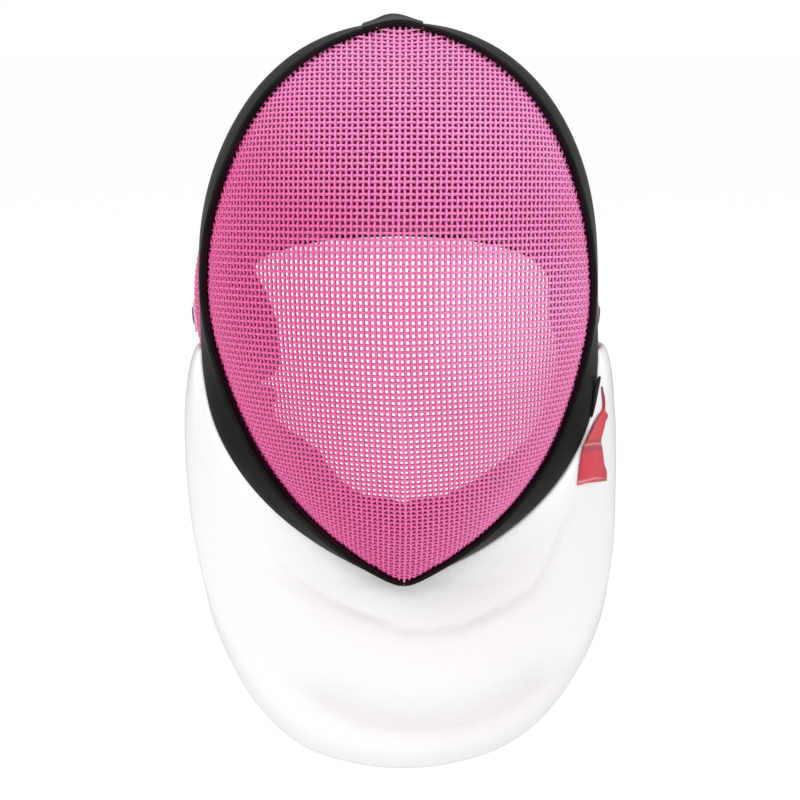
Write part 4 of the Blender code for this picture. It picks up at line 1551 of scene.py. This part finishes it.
# %% Sew the tag
tag_v = np.linspace(0.0, 1.0, 80)
table = through(np.linspace(0.0, 1.0, len(TAG)), TAG, tag_v)
share, height = band_outline(0.0, 1.0, -0.5, 0.5, 0.12, 0.0, 36)
tag_u = table[:, :1] + (table[:, 2:3] - table[:, :1]) * share
tag_down = table[:, 1:2] + (table[:, 3:4] - table[:, 1:2]) * share
spot = bib_sheet(tag_u, tag_down)
out = unit(np.cross(bib_sheet(tag_u, tag_down + 0.01) - spot,
                    bib_sheet(tag_u + 0.01, tag_down) - spot))
out *= np.sign(out[..., :1])
curl = TAG_CURL * np.sin(share * math.pi) * np.sin(tag_v * CURL_TURN)[:, None]
lift = BIB_WALL / 2 + table[:, 4:] + height * TAG_WALL + curl
rows = spot + out * lift[..., None]
rows[..., 0] += bib_lean(rows[..., 2])
tag = add_piece("red_ribbon", *sweep(rows), ribbon(), "red_tag", ["side_tag"])
drop_mm = run_along(rows.mean(1))
at_row = tag_v * (len(TAG) - 1)
# painted shade on the ribbon: the stem, the two folds of the neck and both edges
stem = rise(at_row, STEM_END, STEM_END - 0.8) * 0.8
waist = bump(at_row - NECK_FOLDS[0], 0.35) * 0.7 + bump(at_row - NECK_FOLDS[1], 0.3) * 0.7
border = np.maximum(bump(share, 0.06), bump(1 - share, 0.06))[None] * 0.35
hem_line = bump(at_row - HEM_STITCH, 0.16) * 0.6
neck_line = bump(at_row - NECK, 0.4) * 0.5
write_values(tag, "down_mm", np.repeat(drop_mm, len(share)))
write_values(tag, "fold_share", np.maximum(np.maximum(stem, waist)[:, None], border))
write_values(tag, "pale_share", np.repeat(neck_line + hem_line, len(share)))
print("ribbon:", round(drop_mm[-1]), "mm long")

# %% [markdown]
# ## The lining
# Foam in dark cloth lines the mask: one long pad over the crown and down the temples, and
# one in a U under the chin. No head presses on them here, so they stand well in from the
# mesh. Their inner reach is given side by side for the two cheeks, which differ.

# %% Finish of the lining
def lining_cloth():
    """Brushed cloth: short nap in clouds, lint, a soft sheen at the rolls, and a faint pink
    glow of painted light.
    """
    # painted light: the lining glows faintly pink
    finish = Finish("lining", (0.09, 0.01, 0.045), 0.92, sheen_weight=0.1,
                    emission_color=(1.0, 0.015, 0.38, 1.0), emission_strength=0.08)
    clouds = finish.noise(0.06, 4.0)
    nap = finish.noise(1.2, 3.0)
    finish.set("Base Color", finish.mix((0.060, 0.002, 0.022), (0.110, 0.004, 0.045),
                                        clouds * 0.7 + nap * 0.3))
    finish.relief(nap * 0.6 + clouds * 0.4, 0.35)
    return finish.say()


# %% Sections of the pads
# station, reach inwards at the right cheek and at the left cheek of the wearer
PAD_REACH = np.array((
    (0.0, 11.0, 11.0), (5.0, 12.0, 12.0), (6.0, 15.0, 15.0), (6.6, 21.0, 18.0),
    (7.0, 24.0, 20.0), (7.5, 31.0, 21.0), (8.0, 36.0, 20.5), (8.5, 38.5, 19.0),
    (9.0, 39.0, 18.0), (9.5, 38.0, 19.5), (10.0, 35.0, 21.5), (10.5, 28.5, 22.5),
    (11.0, 32.0, 23.5), (11.5, 35.5, 24.5), (12.0, 36.5, 26.5), (12.5, 34.0, 27.5),
    (13.0, 31.5, 28.5), (13.5, 31.5, 30.0), (14.0, 32.5, 32.0), (14.5, 35.0, 35.0),
    (15.0, 36.5, 36.5),
))
PAD_BACK = 8.0            # thickness away from the rim
PAD_SKIN = -2.5           # its outer skin, just inside the side mesh
PAD_PEAK = 24.0           # behind the rim, where it is thickest
PAD_SPREAD = 36.0
PAD_EDGE = 11.0           # mm over which a long edge is rounded
PAD_END = 12.0            # and an end
PAD_ACROSS = 26           # points across one side of its section
REAR_GAP = 1.5            # a pad ends this far before the rear edge


def pad_rows(stations, front):
    """Closed section outlines of a pad along the given stations."""
    reach = through(PAD_REACH[:, 0], PAD_REACH[:, 1:], np.abs(stations))
    reach = np.where(stations < 0, reach[:, 0], reach[:, 1])
    length = side_length(stations) - REAR_GAP
    step = (1 - np.cos(np.linspace(0.0, math.pi, PAD_ACROSS))) / 2
    share = np.concatenate([step, step[-2:0:-1]])
    d = front + (length - front)[:, None] * share
    from_end = np.minimum(d - front, (length[:, None] - d) * 1.5)
    round_edge = np.sqrt(1 - (1 - rise(from_end, 0.0, PAD_EDGE)) ** 2)
    thick = PAD_BACK + (reach[:, None] + PAD_SKIN - PAD_BACK) * bump(d - PAD_PEAK, PAD_SPREAD)
    is_inner = np.arange(len(share)) >= PAD_ACROSS
    o = PAD_SKIN - np.where(is_inner, thick, 0.0) * round_edge
    run = run_along(side(stations, 20.0, -8.0))
    from_end = rise(np.minimum(run, run[-1] - run), 0.0, PAD_END)
    share = np.sqrt(1 - (1 - from_end) ** 2).clip(0.06)[:, None]
    o = PAD_SKIN + (o - PAD_SKIN) * share
    return lean(side(stations[:, None], d, o))


# %% Lay the pads
CROWN_PAD_END = 9.65      # station
CHIN_PAD_START = 9.3
lining = lining_cloth()
crown_line = np.linspace(-CROWN_PAD_END, CROWN_PAD_END, 150)
cheek_line = np.linspace(CHIN_PAD_START, LAST, 56)
chin_line = np.concatenate([cheek_line, -cheek_line[-2::-1]])
for name, stations, front, stands_for in (
        ("crown_lining", crown_line, 9.0, "crown_pad"),
        ("chin_lining", chin_line, 7.0, "chin_pad")):
    rows = soften(pad_rows(stations, front), 3, open_ends=True)
    pad = add_piece(name, *sweep(rows), lining, "dark_padding", [stands_for])
    held = np.tile(np.arange(rows.shape[1]) < PAD_ACROSS, len(rows))
    swell_with_air(pad, held, 3.0)
    round_off(pad)
